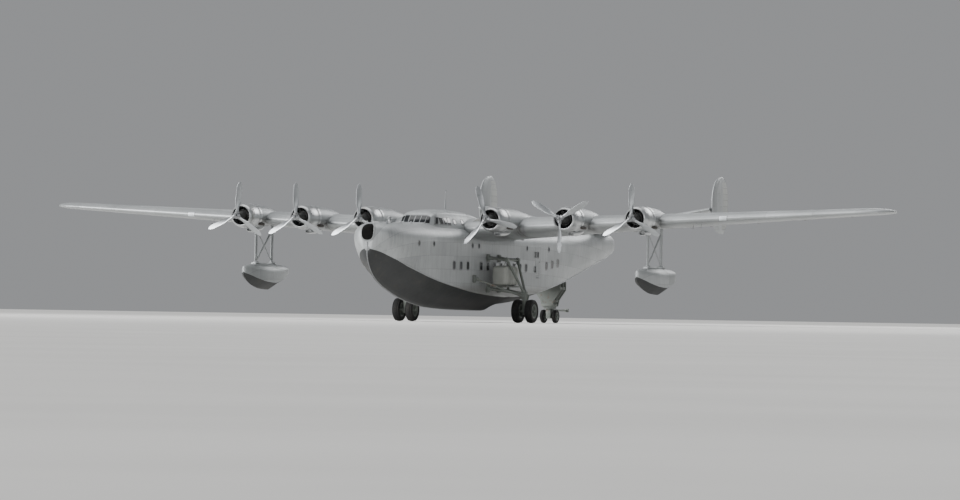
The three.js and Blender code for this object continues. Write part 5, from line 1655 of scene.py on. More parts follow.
def rod(start, end, radius, sides=18, collars=True):
    """A tube with a thicker welded collar near both ends. Radii are real metres."""
    start, end = np.asarray(start, float), np.asarray(end, float)
    grids = [tube(np.linspace(start, end, 3), radius, sides, wide=(0.1, 0.3, 0.9))]
    if collars:
        length = np.linalg.norm(end - start)
        along = (end - start) / length
        collar = np.array([[0.0, 0.0], [1.25, 0.0], [1.3, 0.01], [1.3, 0.09], [1.25, 0.1], [0.0, 0.1]])
        for distance in (0.16 * SCALE, length - 0.26 * SCALE):
            grids.append(lathe(collar * [radius, 1.0], start + along * distance, along, sides=sides))
    return grids


def bolt_ring(centre, axis, radius, count, size, height=0.03):
    """Hexagon bolt heads spaced round a circle that faces along an axis. Sizes are real metres."""
    head = [[0.0, -0.01], [size, -0.01], [size, 0.8 * height], [0.85 * size, height], [0.0, height]]
    circle = lathe([[radius, 0.0]], centre, axis, sides=count)[0][:-1]
    return [lathe(head, point, axis, sides=6) for point in circle]


def hull_pad(t, z):
    """A foot: a plate that stands on the hull's side, with a bolted flange and a socket."""
    side = float(side_half_at(t))
    low, high = place(side + 0.002, t, z), place(side + 0.05, t, z)
    socket = [[0.0, 0.0], [0.14, 0.0], [0.13, 0.05], [0.11, 0.09], [0.11, 0.2], [0.0, 0.2]]
    grids = [
        beam(low, high, 0.27, 0.25, 0.3, 0.12), beam(high, place(side + 0.1, t, z), 0.2, 0.18, 0.3, 0.12),
        lathe(socket, place(side + 0.09, t, z), (1, 0, 0), sides=24),
    ]
    for ds in (-0.22, 0.22):
        for dz in (-0.2, 0.2):
            grids += bolt_ring(place(side + 0.05, t + ds, z + dz), (1, 0, 0), 0.0, 1, 0.022)
    return grids


def leg_grids():
    """The port leg: post and axle housing, two bays of arms from knee to hull, the drag strut, the tray."""
    span, station = MAIN["span"], MAIN["station"]
    housing = [
        [0.0, -0.17], [0.15, -0.17], [0.19, -0.15], [0.2, 0.0], [0.19, 0.15], [0.15, 0.17], [0.0, 0.17],
    ]
    cap = [[0.0, 0.0], [0.2, 0.0], [0.2, 0.03], [0.12, 0.06], [0.0, 0.07]]
    grids = [
        beam(place(span, station, 0.52), place(span, station, 1.95), 0.13, 0.16, 0.3, 0.2, up=(0, 1, 0)),
        lathe(housing, place(span, station, MAIN["radius"]), (1, 0, 0), sides=36),
        lathe(cap, place(span, station, 1.94), (0, 0, 1), sides=32),
    ]
    grids += bolt_ring(place(span, station, 1.97), (0, 0, 1), 0.165, 8, 0.016)
    for t in (station - 0.17, station + 0.17):
        grids.append(beam(place(span - 0.24, t, 1.72), place(span + 0.2, t, 1.6), 0.012, 0.2, 0.5, 0.3))
    drag_side = float(side_half_at(DRAG["station"]))
    grids += rod(
        place(drag_side + 0.12, DRAG["station"], DRAG["z"]), place(span, station - 0.1, DRAG["foot"]), 0.068,
    )
    grids += hull_pad(DRAG["station"], DRAG["z"])
    joint = np.array([[0.0, -0.14], [0.1, -0.14], [0.13, -0.12], [0.13, 0.12], [0.1, 0.14], [0.0, 0.14]])
    top_s, top_z, bar, tray_s = FRAME["top_span"], FRAME["top_z"], FRAME["bar"], FRAME["tray_span"]
    for side in (-1, 1):
        t = station + side * FRAME["spread"]
        hull = float(side_half_at(t))
        knee_t = station + side * 0.08
        knee, top = place(span, knee_t, FRAME["knee"]), place(top_s, t, top_z)
        tray_t = mix(t, knee_t, (tray_s - hull) / (span - hull))
        grids += rod(top, knee, bar) + rod(place(hull + 0.12, t, FRAME["upper_z"]), top, bar)
        grids += rod(place(hull + 0.12, t, FRAME["lower_z"]), knee, bar)
        grids.append(lathe(joint, top, (0, 1, 0), sides=28))
        grids.append(lathe(joint * [1.1, 0.9], top, (1, 0, -0.2), sides=28))
        tray_post = place(tray_s, tray_t, 1.98), place(tray_s, tray_t, TANK["low"] - 0.05)
        grids.append(beam(*tray_post, 0.075, 0.075, 0.4, 0.2, up=(0, 1, 0)))
        grids += hull_pad(t, FRAME["upper_z"]) + hull_pad(t, FRAME["lower_z"])
        brace = place(hull + 0.25, t, FRAME["lower_z"] + 0.02), place(top_s - 0.05, t, top_z - 0.1)
        grids += rod(*brace, 0.018, 10, collars=False)
        grids += rod(place(top_s, t, top_z), place(top_s, t, top_z + 0.2), 0.02, 10, collars=False)
    front_t, rear_t = station - FRAME["spread"], station + FRAME["spread"]
    grids += rod(place(top_s, front_t, top_z), place(top_s, rear_t, top_z), 0.05)
    for s in (TANK["inner"] + 0.1, TANK["outer"] - 0.1):
        z = TANK["low"] - 0.055
        grids.append(beam(place(s, front_t - 0.12, z), place(s, rear_t + 0.12, z), 0.07, 0.05))
    for k in range(TRAY_BARS):
        t, z = mix(front_t, rear_t, k / (TRAY_BARS - 1)), TANK["low"] - 0.03
        grids.append(beam(place(TANK["inner"], t, z), place(TANK["outer"], t, z), 0.09, 0.025))
    return grids


beaching_leg = leg_grids()
make_pair("beaching_leg_{}_frame", beaching_leg, gear_paint, "airframe", "beaching_leg_{}")
print("parts of a beaching leg:", len(beaching_leg))

# %% [markdown]
# The tank that floats the leg alongside is a welded box with rounded corners. It rests on the leg's tray.

# %% Flotation tanks
def tank_grids():
    """A welded tank: a squared ellipse drawn in at its ends, with ribs, a filler cap and two straps."""
    middle = place(0.5 * (TANK["inner"] + TANK["outer"]), MAIN["station"], 0.5 * (TANK["low"] + TANK["high"]))
    half_s, half_z = 0.5 * (TANK["outer"] - TANK["inner"]), 0.5 * (TANK["high"] - TANK["low"])
    y = np.linspace(-1, 1, 121) * TANK["half_length"]
    end = np.clip((np.abs(y) - 0.95) / 0.25, 0, 1)
    inset = 0.16 * (1 - np.sqrt(np.maximum(1 - end ** 2, 0)))
    rib = np.zeros_like(y)
    for centre in (-0.72, -0.36, 0.0, 0.36, 0.72):
        rib += np.exp(-((y - centre) / 0.045) ** 4)
    bulge = 0.018 * rib - 0.018
    angle = np.linspace(0, 2 * np.pi, 49)
    c, s = rounded(np.cos(angle), 0.32), rounded(np.sin(angle), 0.32)
    x = (half_s - inset + bulge)[:, None] * c
    z = (half_z - inset + bulge)[:, None] * s
    grids = [closed(middle + np.stack([x, np.broadcast_to(y[:, None], x.shape), z], -1) * SCALE)]
    cap = [[0.0, 0.0], [0.09, 0.0], [0.09, 0.03], [0.07, 0.045], [0.0, 0.045]]
    grids.append(lathe(cap, middle + offset(0, -0.25, half_z - 0.02), (0, 0, 1), sides=28))
    band = [(-0.02, -0.035), (0.012, -0.035), (0.012, 0.035), (-0.02, 0.035), (-0.02, -0.035)]
    for y_band in (-0.54, 0.54):
        ring = np.stack([half_s * c, np.full_like(c, y_band), half_z * s], 1)
        rows = [ring * [1.0 + share, 1, 1.0 + share] + [0, along, 0] for share, along in band]
        grids.append(middle + np.array(rows) * SCALE)
    return grids


tank = tank_grids()
make_pair("beaching_tank_{}_shell", tank, tank_paint, "airframe", "beaching_tank_{}")
print("parts of a tank:", len(tank))

# %% [markdown]
# Wheels are turned about their axle: a grooved tyre on a dished rim, with a hub cap and rings of bolts. The
# trolley under the tail has smaller wheels of the same make.

# %% Wheels
def tyre_grid(gear, s, side):
    """A tyre: bead at the rim, round sidewalls, and a tread that falls to its edges, with round grooves."""
    w, r, rim = 0.5 * gear["width"], gear["radius"], gear["rim"]
    x = np.linspace(-0.62, 0.62, 41)
    groove = np.where(np.abs((x * 4.2) % 1.0 - 0.5) < 0.13, 0.014, 0.0)
    crown = np.stack([r - 0.198 * np.abs(x) ** 3 - groove, x * w], 1)
    left = [
        [rim, -0.78 * w], [rim + 0.03, -0.86 * w], [mix(rim, r, 0.3), -0.98 * w], [mix(rim, r, 0.52), -w],
        [mix(rim, r, 0.74), -0.95 * w], [mix(rim, r, 0.9), -0.8 * w],
    ]
    other = [[radius, -across] for radius, across in left[::-1]]
    centre = place(gear["span"] * side + s, gear["station"], gear["radius"])
    return lathe(np.concatenate([left, crown, other, left[:1]]), centre, (1, 0, 0), sides=96)


# the rim and its hub cap, as shares of the rim's radius and of half the tyre's width
RIM_PROFILE = np.array([
    [0.0, 0.42], [0.3, 0.42], [0.34, 0.3], [0.62, 0.22], [0.74, 0.3], [0.8, 0.62], [0.9, 0.72], [0.96, 0.84],
    [1.06, 0.88], [1.08, 0.82], [0.99, 0.76], [0.99, -0.76], [1.08, -0.82], [1.06, -0.88], [0.9, -0.7],
    [0.7, -0.2], [0.0, -0.2],
])
CAP_PROFILE = np.array([[0.0, 0.9], [0.12, 0.88], [0.2, 0.74], [0.22, 0.5], [0.22, 0.3], [0.0, 0.3]])


def wheel_grids(gear, side):
    """The axle, and on it two dished rims, each with a hub cap and two rings of bolts."""
    centre = place(gear["span"] * side, gear["station"], gear["radius"])
    half, rim, w = gear["offset"] + 0.5 * gear["width"], gear["rim"], 0.5 * gear["width"]
    grids = [lathe(pin(gear["axle"], -half, half), centre, (1, 0, 0), 24)]
    for out in (-1, 1):
        middle, axis = centre + offset(out * gear["offset"], 0, 0), (out, 0, 0)
        grids.append(lathe(RIM_PROFILE * [rim, w], middle, axis, sides=56))
        grids.append(lathe(CAP_PROFILE * [rim, w], middle, axis, sides=32))
        grids += bolt_ring(
            middle + offset(out * 0.24 * w, 0, 0), axis, 0.52 * rim, 10, 0.05 * rim, 0.07 * rim,
        )
        grids += bolt_ring(
            middle + offset(out * 0.66 * w, 0, 0), axis, 0.86 * rim, 16, 0.028 * rim, 0.06 * rim,
        )
    return grids


SIDES = (("port", 1), ("starboard", -1))
for side, sign in SIDES:
    make_piece(
        f"main_wheels_{side}_rims", wheel_grids(MAIN, sign), gear_paint, f"main_wheels_{side}",
        [f"main_axle_{side}"],
    )
    for where, out in (("outer", sign), ("inner", -sign)):
        make_piece(
            f"tyre_{side}_{where}", [tyre_grid(MAIN, out * MAIN["offset"], sign)], tyre_rubber,
            f"main_wheels_{side}", [f"main_tyre_{side}_{where}"], sharp=40,
        )
print("main wheels, real metres apart:", 2 * MAIN["span"])

# %% [markdown]
# Under the tail stands a small trolley: steel cross frames cut to the V of the bottom, on a turntable over
# twin wheels, with a tow bar behind.

# %% Tail trolley
def cross_frame(t, thick):
    """A plate across the hull. Its lower edge widens upwards, its upper one follows the bottom."""
    s = np.concatenate([
        np.linspace(-0.95, -0.4, 8), np.linspace(-0.4, 0.4, 9)[1:], np.linspace(0.4, 0.95, 8)[1:],
    ])
    low = np.where(np.abs(s) <= 0.41, 1.12, 1.4 + (np.abs(s) - 0.4) / 0.55 * 0.8)
    keel, seat = float(after_keel(t)), float(chine_z_at(t))
    high = np.minimum(mix(keel, seat, v_share(np.abs(s) / float(chine_half_at(t)))) - 0.012, 2.75)
    corners = [(t - thick, low), (t + thick, low), (t + thick, high), (t - thick, high), (t - thick, low)]
    return closed(np.stack([place(s, station, z) for station, z in corners], 1))


t0 = TRUCK["station"]
cradle = [cross_frame(t, 0.035) for t in (t0 - 0.5, t0, t0 + 0.5)]
front_t, rear_t = t0 - 0.5 - 0.05, t0 + 0.5 + 0.05
for s, z in ((-0.86, 2.32), (0.86, 2.32), (-0.385, 1.48), (0.385, 1.48)):
    cradle.append(beam(place(s, front_t, z), place(s, rear_t, z), 0.05, 0.08, 0.4, 0.2))
cradle.append(beam(place(0, front_t, 1.2), place(0, rear_t, 1.2), 0.38, 0.1, 0.3, 0.2))
ring_plate = [[0.0, 0.0], [0.44, 0.0], [0.45, 0.02], [0.45, 0.06], [0.4, 0.08], [0.0, 0.08]]
cradle.append(lathe(ring_plate, place(0, t0, 1.03), (0, 0, 1), sides=48))
make_piece("tail_cradle_frame", cradle, gear_paint, "airframe", ["tail_cradle"])
TOW = {"end": 34.6, "z": 0.86}
turntable = [[0.0, -0.08], [0.41, -0.08], [0.42, -0.06], [0.42, -0.004], [0.0, -0.004]]
boss = [[0.0, -0.2], [0.12, -0.2], [0.13, -0.18], [0.13, 0.18], [0.12, 0.2], [0.0, 0.2]]
truck = [
    lathe(turntable, place(0, t0, 1.02), (0, 0, 1), sides=48),
    beam(place(0, t0, 0.3), place(0, t0, 0.95), 0.18, 0.3, 0.3, 0.15, up=(0, 1, 0)),
    lathe(boss, place(0, t0, TRUCK["radius"]), (1, 0, 0), sides=32),
    beam(place(0, t0 + 0.2, TOW["z"]), place(0, TOW["end"] - 0.1, TOW["z"]), 0.07, 0.07, 0.4, 0.2),
    beam(place(0, TOW["end"] - 0.13, TOW["z"]), place(0, TOW["end"], TOW["z"]), 0.16, 0.12, 0.3, 0.12),
]
for sense in (-1, 1):
    truck += rod(
        place(sense * 0.15, t0 + 0.25, 0.9), place(sense * 0.04, t0 + 1.5, TOW["z"]), 0.035, 12, False,
    )
truck += bolt_ring(place(0, t0, 1.014), (0, 0, -1), 0.36, 12, 0.02)
make_piece("tail_truck_frame", truck, gear_paint, "tail_truck", ["tail_truck"])
make_piece("tail_wheels_rims", wheel_grids(TRUCK, 0), gear_paint, "tail_wheels", ["tail_axle"])
for side, sign in SIDES:
    make_piece(
        f"tail_tyre_{side}_tread", [tyre_grid(TRUCK, sign * TRUCK["offset"], 0)], tyre_rubber, "tail_wheels",
        [f"tail_tyre_{side}"], sharp=40,
    )
print("parts of the tail trolley:", len(cradle) + len(truck))

# %% [markdown]
# Windows, hatches and hull fittings lie on the skin. The cockpit's panes go round the front of the cabin
# between two heights, so the skin is first asked where its surface is at a given span and height. Every pane
# sits in a frame.

# %% Windows
def level_at(t, z):
    """The cabin's level at a station and height: below the eaves a share of the side, above them an angle."""
    eaves, roof = cabin_eaves(t), cabin_roof(t)
    side = (z - CABIN_FOOT) / np.maximum(eaves - CABIN_FOOT, 1e-6)
    share = np.clip((z - eaves) / np.maximum(roof - eaves, 1e-6), 0, 1)
    return np.where(z <= eaves, side, 1 + np.arcsin(share ** (1 / CROWN_POWER)) * 2 / np.pi)


def back_from_nose(width_at, first, last, s, z):
    """The station where a form that widens aft is |s| wide, by stepping back from the nose and mixing two
    steps. On the centre line it looks for a width of 30 mm, which the form has only where it is as high as
    z."""
    s, z = np.broadcast_arrays(np.maximum(np.abs(np.asarray(s, float)), 0.03), np.asarray(z, float))
    t = first + (last - first) * np.linspace(0, 1, 260) ** 2
    wide = width_at(t.reshape((-1,) + (1,) * s.ndim), z[None])
    k = np.clip((wide < s[None]).sum(axis=0), 1, len(t) - 1)
    low = np.take_along_axis(wide, (k - 1)[None], 0)[0]
    high = np.take_along_axis(wide, k[None], 0)[0]
    return t[k - 1] + (t[k] - t[k - 1]) * np.clip((s - low) / np.maximum(high - low, 1e-9), 0, 1)


def cabin_front(s, z):
    """The cabin's front at a span and height, where the cabin has no width above its roof."""
    def width(t, z):
        return cabin_side(t, z)[..., 0] / SCALE * (z < cabin_roof(t))
    return place(s, back_from_nose(width, CABIN_FRONT, 9.4, s, z), z)


def cabin_side(t, z):
    """The cabin's port side at a station and height."""
    return cabin_point(t, level_at(t, z))


def bow_front(s, z):
    """The hull's nose at a span and height, cut off square just behind its foremost point."""
    def width(t, z):
        return hull_side(t, z)[..., 0] / SCALE
    return place(s, np.maximum(back_from_nose(width, 0.0, 2.4, s, z), NOSE_BACK), z)


def patch_on(surface, corners, lift=0.004, depth=0.006, cells=(10, 8)):
    """A thin plate between four corners, which are mixed straight. Its edge is rolled down, and a second
    sheet closes it below. Lift and depth are in model metres."""
    def edge(count):
        share = np.concatenate([[0, 0, 0.02], np.linspace(0.05, 0.95, count), [0.98, 1, 1]])
        height = np.concatenate([[-depth, 0.4 * lift], np.full(count + 2, lift), [0.4 * lift, -depth]])
        return share, height
    (u, rise_u), (v, rise_v) = edge(cells[0]), edge(cells[1])
    u, v = u[:, None], v[None]
    a, b = [
        first * (1 - u) * (1 - v) + second * u * (1 - v) + third * u * v + fourth * (1 - u) * v
        for first, second, third, fourth in zip(*corners)
    ]
    top = raised(surface, a, b, np.minimum(rise_u[:, None], rise_v[None]))
    return [top, raised(surface, a, b, np.full(a.shape, -depth))]


# %% [markdown]
# On each side the cockpit has two front panes, a corner pane and four side panes. Behind them the cabin has
# three small windows.

# %% Cockpit windows
frame_metal = worn_finish("window_frame_metal", "8f9192", "6d6d6a", 14.0, 0.1, (0.35, 0.55), 0.6, 0.2)
# Painted shade: a near-black finish with little reflection, for the inside of an open hatch.
recess_painted_shade = worn_finish("unlit_recess", "0b0b0b", "141312", 8.0, 0.1, (0.85, 1.0), 0.0, 0.1)
recess_painted_shade.node_tree.nodes["Principled BSDF"].inputs["Specular IOR Level"].default_value = 0.1
panes, frames = [], []
low_z, high_z = 6.18, 6.63
for inner, outer in ((0.03, 0.36), (0.4, 0.71)):
    panes += patch_on(cabin_front, rectangle(inner, outer, low_z, high_z), 0.007, 0.004)
screen = rectangle(-0.001, 0.76, low_z - 0.07, high_z + 0.05)
frames += patch_on(cabin_front, screen, 0.004, 0.008, (16, 12))
SIDE_PANES = [
    (8.05, 8.3, 8.52, 8.28), (8.6, 9.08, 9.08, 8.56), (9.18, 9.66, 9.66, 9.18), (9.76, 10.2, 10.2, 9.76),
]
for bottom_front, bottom_rear, top_rear, top_front in SIDE_PANES:
    corners = [(bottom_front, 6.11), (bottom_rear, 6.11), (top_rear, 6.51), (top_front, 6.51)]
    panes += patch_on(cabin_side, corners, 0.007, 0.004)
side_frame = [(7.88, 6.04), (10.3, 6.04), (10.3, 6.58), (8.2, 6.58)]
frames += patch_on(cabin_side, side_frame, 0.004, 0.008, (20, 10))
corner_pane = [(0.755, 6.16), (0.97, 6.13), (0.93, 6.55), (0.73, 6.61)]
panes += patch_on(cabin_front, corner_pane, 0.0075, 0.004)
deck_windows = [window_on(cabin_side, (t, 6.3), (0.2, 0.15), 3.0) for t in (10.9, 12.2, 13.5)]
panes += [pane for pane, _ in deck_windows]
frames += [ring for _, ring in deck_windows]
make_piece("cockpit_panes", both_sides(panes), cabin_glass, "airframe")
make_piece("cockpit_frames", both_sides(frames), frame_metal, "airframe")
print("side panes:", len(SIDE_PANES), "cabin windows:", len(deck_windows))

# %% [markdown]
# Along the hull runs a row of large windows, which rises towards the tail. A few round portholes stand above
# it.

# %% Hull windows
MAIN_WINDOWS = [9.55, 10.7, 11.85, 14.1, 15.25, 16.4, 17.55, 18.7, 19.85, 21.0, 22.15, 26.2, 27.4, 28.6]
PORTHOLES = [4.0, 6.2, 12.6, 13.7, 22.3, 26.6]
windows = [window_on(hull_side, (t, 3.56 + max(0.0, t - 24) * 0.09), (0.21, 0.25), 4.5) for t in MAIN_WINDOWS]
windows += [window_on(hull_side, (t, 4.84), (0.15, 0.15), 2.0) for t in PORTHOLES]
panes, frames = zip(*windows)
make_piece("hull_window_panes", both_sides(panes), cabin_glass, "airframe")
make_piece("hull_window_frames", both_sides(frames), frame_metal, "airframe")
print("windows:", 2 * len(windows), "on the hull")

# %% [markdown]
# The mooring hatch in the bow stands open. Its opening is a near-black plate, painted shade for the unlit
# space behind it, with a raised rim, and below it is a small cap on the head of the stem.

# %% Bow hatch
HATCH_MIDDLE, HATCH_HALF = (0.0, 5.44), (0.4, 0.5)
hole_margins = (None, -0.37, -0.33, -0.28, -0.22, -0.16, -0.1, -0.05)
hole_rows = [(margin, 0.006) for margin in hole_margins]
hole_rows += [(0.0, 0.005), (0.0, -0.01), (-0.2, -0.01), (None, -0.01)]
bow_hole = plate_on(bow_front, HATCH_MIDDLE, HATCH_HALF, hole_rows, 2.6, 48)
make_piece("bow_hatch_opening", [bow_hole], recess_painted_shade, "airframe")
ring_rows = [
    (-0.01, -0.006), (-0.01, 0.01), (0.0, 0.014), (0.04, 0.014), (0.07, 0.007), (0.07, -0.006),
    (-0.01, -0.006),
]
hatch_ring = plate_on(bow_front, HATCH_MIDDLE, HATCH_HALF, ring_rows, 2.6, 48)
stem_head = plate_on(bow_front, (0.0, 4.44), (0.15, 0.14), lid(0.006, 0.02, 0.003, 0.008), 3.0)
make_piece("bow_hatch_rim", [hatch_ring, stem_head], frame_metal, "airframe")
print("bow hatch grids:", bow_hole.shape, hatch_ring.shape)

# %% [markdown]
# Along the stem and keel runs a half-round strip that takes the knocks, and spray rails stand along the
# chines.

# %% Keel strips and rails
stem_t = np.linspace(1, 0, 40) ** 2 * STEP_STATION
stem = np.concatenate([place(0, stem_t, keel_at(stem_t)), place(0, 0.0, np.linspace(4.42, 4.84, 6))])
stem[:, 1] = np.maximum(stem[:, 1], place(0, 0.036, 0)[1])
after_t = np.linspace(19.1, 32.6, 40)
strips = [tube(stem, 0.035, 12), tube(place(0, after_t, after_keel(after_t)), 0.03, 12)]
make_piece("keel_strips", strips, steel_bright, "airframe")
RAIL_END = 18.9
rail_t = np.linspace(0.25, 1, 90) ** 1.6 * RAIL_END
rail_path = place(chine_half_at(rail_t) + 0.02, rail_t, chine_z_at(rail_t) - 0.01)
rail_wide = 0.055 * np.clip(np.minimum(rail_t - rail_t[0], RAIL_END - rail_t) / 0.8, 0.3, 1)
tail_rail_t = np.linspace(19.1, 41.5, 80)
tail_rail = place(chine_half_at(tail_rail_t) + 0.01, tail_rail_t, chine_z_at(tail_rail_t) - 0.01)
rails = [tube(rail_path, rail_wide, 12, flatten=0.5), tube(tail_rail, 0.028, 10)]
make_piece("spray_rails", both_sides(rails), hull_skin, "airframe")
print("points along the keel strip and a rail:", len(stem), len(rail_path))

# %% [markdown]
# Cleats stand on the deck, and near the bow are fairleads and the bollard.

# %% Cleats, fairleads and bollard
def deck_z(s, t):
    """Height of the deck in real metres."""
    return float(hull_deck(s, t)[..., 2]) / SCALE


def cleat(s, t):
    """Two short posts and a bar with tapered horns, along the boat."""
    z = deck_z(s, t)
    rise = np.array([0.025, 0.012, 0, 0, 0.012, 0.025])
    horns = place(s, t + np.array([-0.17, -0.13, -0.06, 0.06, 0.13, 0.17]), z + 0.1 + rise)
    bar = tube(horns, [0.012, 0.022, 0.03, 0.03, 0.022, 0.012], 12, wide=(1, 0, 0))
    post = [[0, -0.05], [0.035, -0.05], [0.03, 0.0], [0.02, 0.04], [0.02, 0.09], [0, 0.09]]
    posts = [lathe(post, place(s, t + along, z), (0, 0, 1), 16) for along in (-0.07, 0.07)]
    foot = beam(place(s, t - 0.13, z + 0.01), place(s, t + 0.13, z + 0.01), 0.06, 0.022, 0.5)
    return [bar, foot, *posts]


def fairlead(s, t):
    """An open ring on the deck's edge that a rope would run through."""
    z = deck_z(s, t) + 0.09
    a = np.linspace(0, 2 * np.pi, 33)
    loop = place(s + 0 * a, t + 0.1 * np.cos(a), z + 0.075 * np.sin(a))
    small = np.linspace(0, 2 * np.pi, 13)[None, :, None]
    radial = loop - place(s, t, z)
    radial /= np.linalg.norm(radial, axis=1)[:, None]
    section = np.cos(small) * radial[:, None] + np.sin(small) * np.array([1.0, 0, 0])
    ring = loop[:, None] + 0.018 * SCALE * section
    foot = beam(place(s, t - 0.13, z - 0.09), place(s, t + 0.13, z - 0.09), 0.05, 0.025, 0.5)
    return [ring, foot]


fittings = []
for s, t in ((0.62, 2.2), (0.72, 5.2), (0.9, 20.8)):
    fittings += cleat(s, t)
fittings += fairlead(0.66, 1.5) + fairlead(0.8, 3.4)
make_piece("deck_cleats", both_sides(fittings), steel_bright, "airframe")
BOLLARD_STATION = 3.5
z = deck_z(0, BOLLARD_STATION)
post_profile = [
    [0, -0.06], [0.2, -0.06], [0.2, 0.02], [0.18, 0.035], [0.1, 0.045], [0.088, 0.07], [0.086, 0.25],
    [0.1, 0.29], [0.105, 0.31], [0.098, 0.335], [0.05, 0.34], [0, 0.34],
]
post = lathe(post_profile, place(0, BOLLARD_STATION, z), (0, 0, 1), 40)
cross_radius = [0.03, 0.032, 0.028, 0.026, 0.026, 0.026, 0.028, 0.032, 0.03]
cross = tube(place(np.linspace(-0.19, 0.19, 9), BOLLARD_STATION, z + 0.2), cross_radius, 16)
bolts = bolt_ring(place(0, BOLLARD_STATION, z + 0.03), (0, 0, 1), 0.155, 8, 0.018)
make_piece(
    "bollard_casting", [post, cross, *bolts], steel_bright, "airframe", ["mooring_bollard"],
)
print("bolts round the bollard:", len(bolts))

# %% [markdown]
# The aerial mast stands on the cabin's roof. Hatches with raised rims lie on the deck, and rubber walkways on
# the deck and the wing.

# %% Mast, hatches and walkways
MAST = {"station": 12.6, "foot": 6.9, "top": 8.35, "chord": 0.09}
up_share = np.linspace(0, 1, 16)
mast_path = place(0, MAST["station"], mix(MAST["foot"], MAST["top"], up_share))
mast = tube(mast_path, MAST["chord"] - 0.04 * up_share, 20, flatten=0.42, wide=(0, 1, 0))
foot_profile = [[0, -0.1], [0.17, -0.1], [0.16, 0.14], [0.12, 0.17], [0.075, 0.22], [0, 0.22]]
foot = lathe(foot_profile, place(0, MAST["station"], MAST["foot"] - 0.02), (0, 0, 1), 32)
make_piece("mast_streamlined", [mast, foot], wing_skin, "airframe", ["aerial_mast"])

hatches, rims = [], []
lid_rows = [(None, 0.014), (-0.05, 0.014), (-0.01, 0.012), (0.0, -0.004), (None, -0.004)]
rim_rows = [(0.01, -0.004), (0.01, 0.008), (0.05, 0.008), (0.06, -0.004), (0.01, -0.004)]
HATCHES = [(1.75, (0.3, 0.42)), (5.6, (0.34, 0.34)), (24.6, (0.4, 0.5)), (28.4, (0.34, 0.4))]
for t, half in HATCHES:
    hatches.append(plate_on(hull_deck, (0.0, t), half, lid_rows, 5.0, 40))
    rims.append(plate_on(hull_deck, (0.0, t), half, rim_rows, 5.0, 40))
    for sense in (-1, 1):
        hinge = place(sense * 0.5 * half[0], t - half[1] - 0.02, deck_z(0.0, t) + 0.03)
        hatches.append(lathe(pin(0.02, -0.06, 0.06), hinge, (1, 0, 0), 14))
make_piece("deck_hatches", hatches, hull_skin, "airframe")
make_piece("deck_hatch_rims", rims, frame_metal, "airframe")
WALKS = [(2.4, 3.1), (3.95, 5.1), (21.3, 23.9), (25.3, 27.8), (29.0, 36.4)]
walks = []
for first, last in WALKS:
    walks += patch_on(hull_deck, rectangle(-0.26, 0.26, first, last), 0.003, 0.003, (10, 18))
wing_walk = patch_on(wing_top, rectangle(1.75, 2.2, 0.07, 0.68), 0.003, 0.003, (10, 24))
wing_walk += patch_on(wing_top, rectangle(2.35, 3.6, 0.32, 0.37), 0.003, 0.003, (14, 8))
make_piece("walkways", walks + both_sides(wing_walk), deck_rubber, "airframe")
print("deck hatches:", len(HATCHES), "walkways:", len(WALKS))

# %% [markdown]
# The passenger door is a pressed panel with a small window and a turning handle. It hangs on two outside
# hinges, so the knuckles with their arms move with the door, and the lugs beside them stay on the hull.

# %% Passenger door
HINGE = {"heights": (3.5, 4.45), "radius": 0.034, "knuckle": 0.14, "lug": 0.12, "proud": 0.05}
PANEL = {"station": 24.42, "pressing": 3.62, "window": 4.45, "handle": 3.98}
front, rear, sill, head = [DOOR[key] for key in ("front", "rear", "sill", "head")]
door_t = np.concatenate([[front], np.linspace(front + 0.01, rear - 0.01, 12), [rear]])
door_z = np.concatenate([[sill], np.linspace(sill + 0.01, head - 0.01, 22), [head]])
grid_t, grid_z = np.meshgrid(door_t, door_z, indexing="ij")
outside = hull_side(grid_t, grid_z)
at_edge = (grid_t == front) | (grid_t == rear) | (grid_z == sill) | (grid_z == head)
outside[at_edge, 0] -= 0.003
DOOR_LINING = float(side_half_at(DOOR["rear"])) - DOOR["thick"]
inside = outside.copy()
inside[..., 0] = DOOR_LINING * SCALE


def edge_of(grid):
    """The points round the border of a grid, from one corner back to it."""
    return np.concatenate([grid[0], grid[1:, -1], grid[-1, -2::-1], grid[-2::-1, 0]])


border = np.stack([edge_of(outside), edge_of(inside)])
pressing = [(0.0, -0.002), (0.0, 0.003), (0.03, 0.004), (0.05, 0.003), (0.05, -0.002), (0.0, -0.002)]
pressed = plate_on(hull_side, (PANEL["station"], PANEL["pressing"]), (0.34, 0.3), pressing, 6.0)
make_piece(
    "door_panel", [outside, inside, border, pressed], hull_skin, "passenger_door", ["passenger_door"],
)
pane, ring = window_on(hull_side, (PANEL["station"], PANEL["window"]), (0.17, 0.2))


def door_lining(z, t):
    """The door's flat inner side. The height comes first, so that its normal points into the cabin."""
    return place(DOOR_LINING, t, z)


inner_pane, inner_ring = window_on(door_lining, (PANEL["window"], PANEL["station"]), (0.2, 0.17))
make_piece("door_window_pane", [pane, inner_pane], cabin_glass, "passenger_door")
handle_s, handle_z = DOOR_LINING - 0.03, PANEL["handle"]
inner_fittings = [
    inner_ring,
    plate_on(door_lining, (PANEL["pressing"], PANEL["station"]), (0.3, 0.34), pressing, 6.0),
    plate_on(door_lining, (handle_z, 24.78), (0.03, 0.03), [(None, 0.009), (0.0, 0.009), (0.0, -0.002)], 2.0),
    beam(place(handle_s, 24.8, handle_z), place(handle_s, 24.6, handle_z - 0.01), 0.008, 0.018, 0.6),
]
print("door grid:", outside.shape)

# %% [markdown]
# Behind the door the recess has a plain wall with three posts. On the outside of the door are its turning
# handle and the hinges, and below it a step.

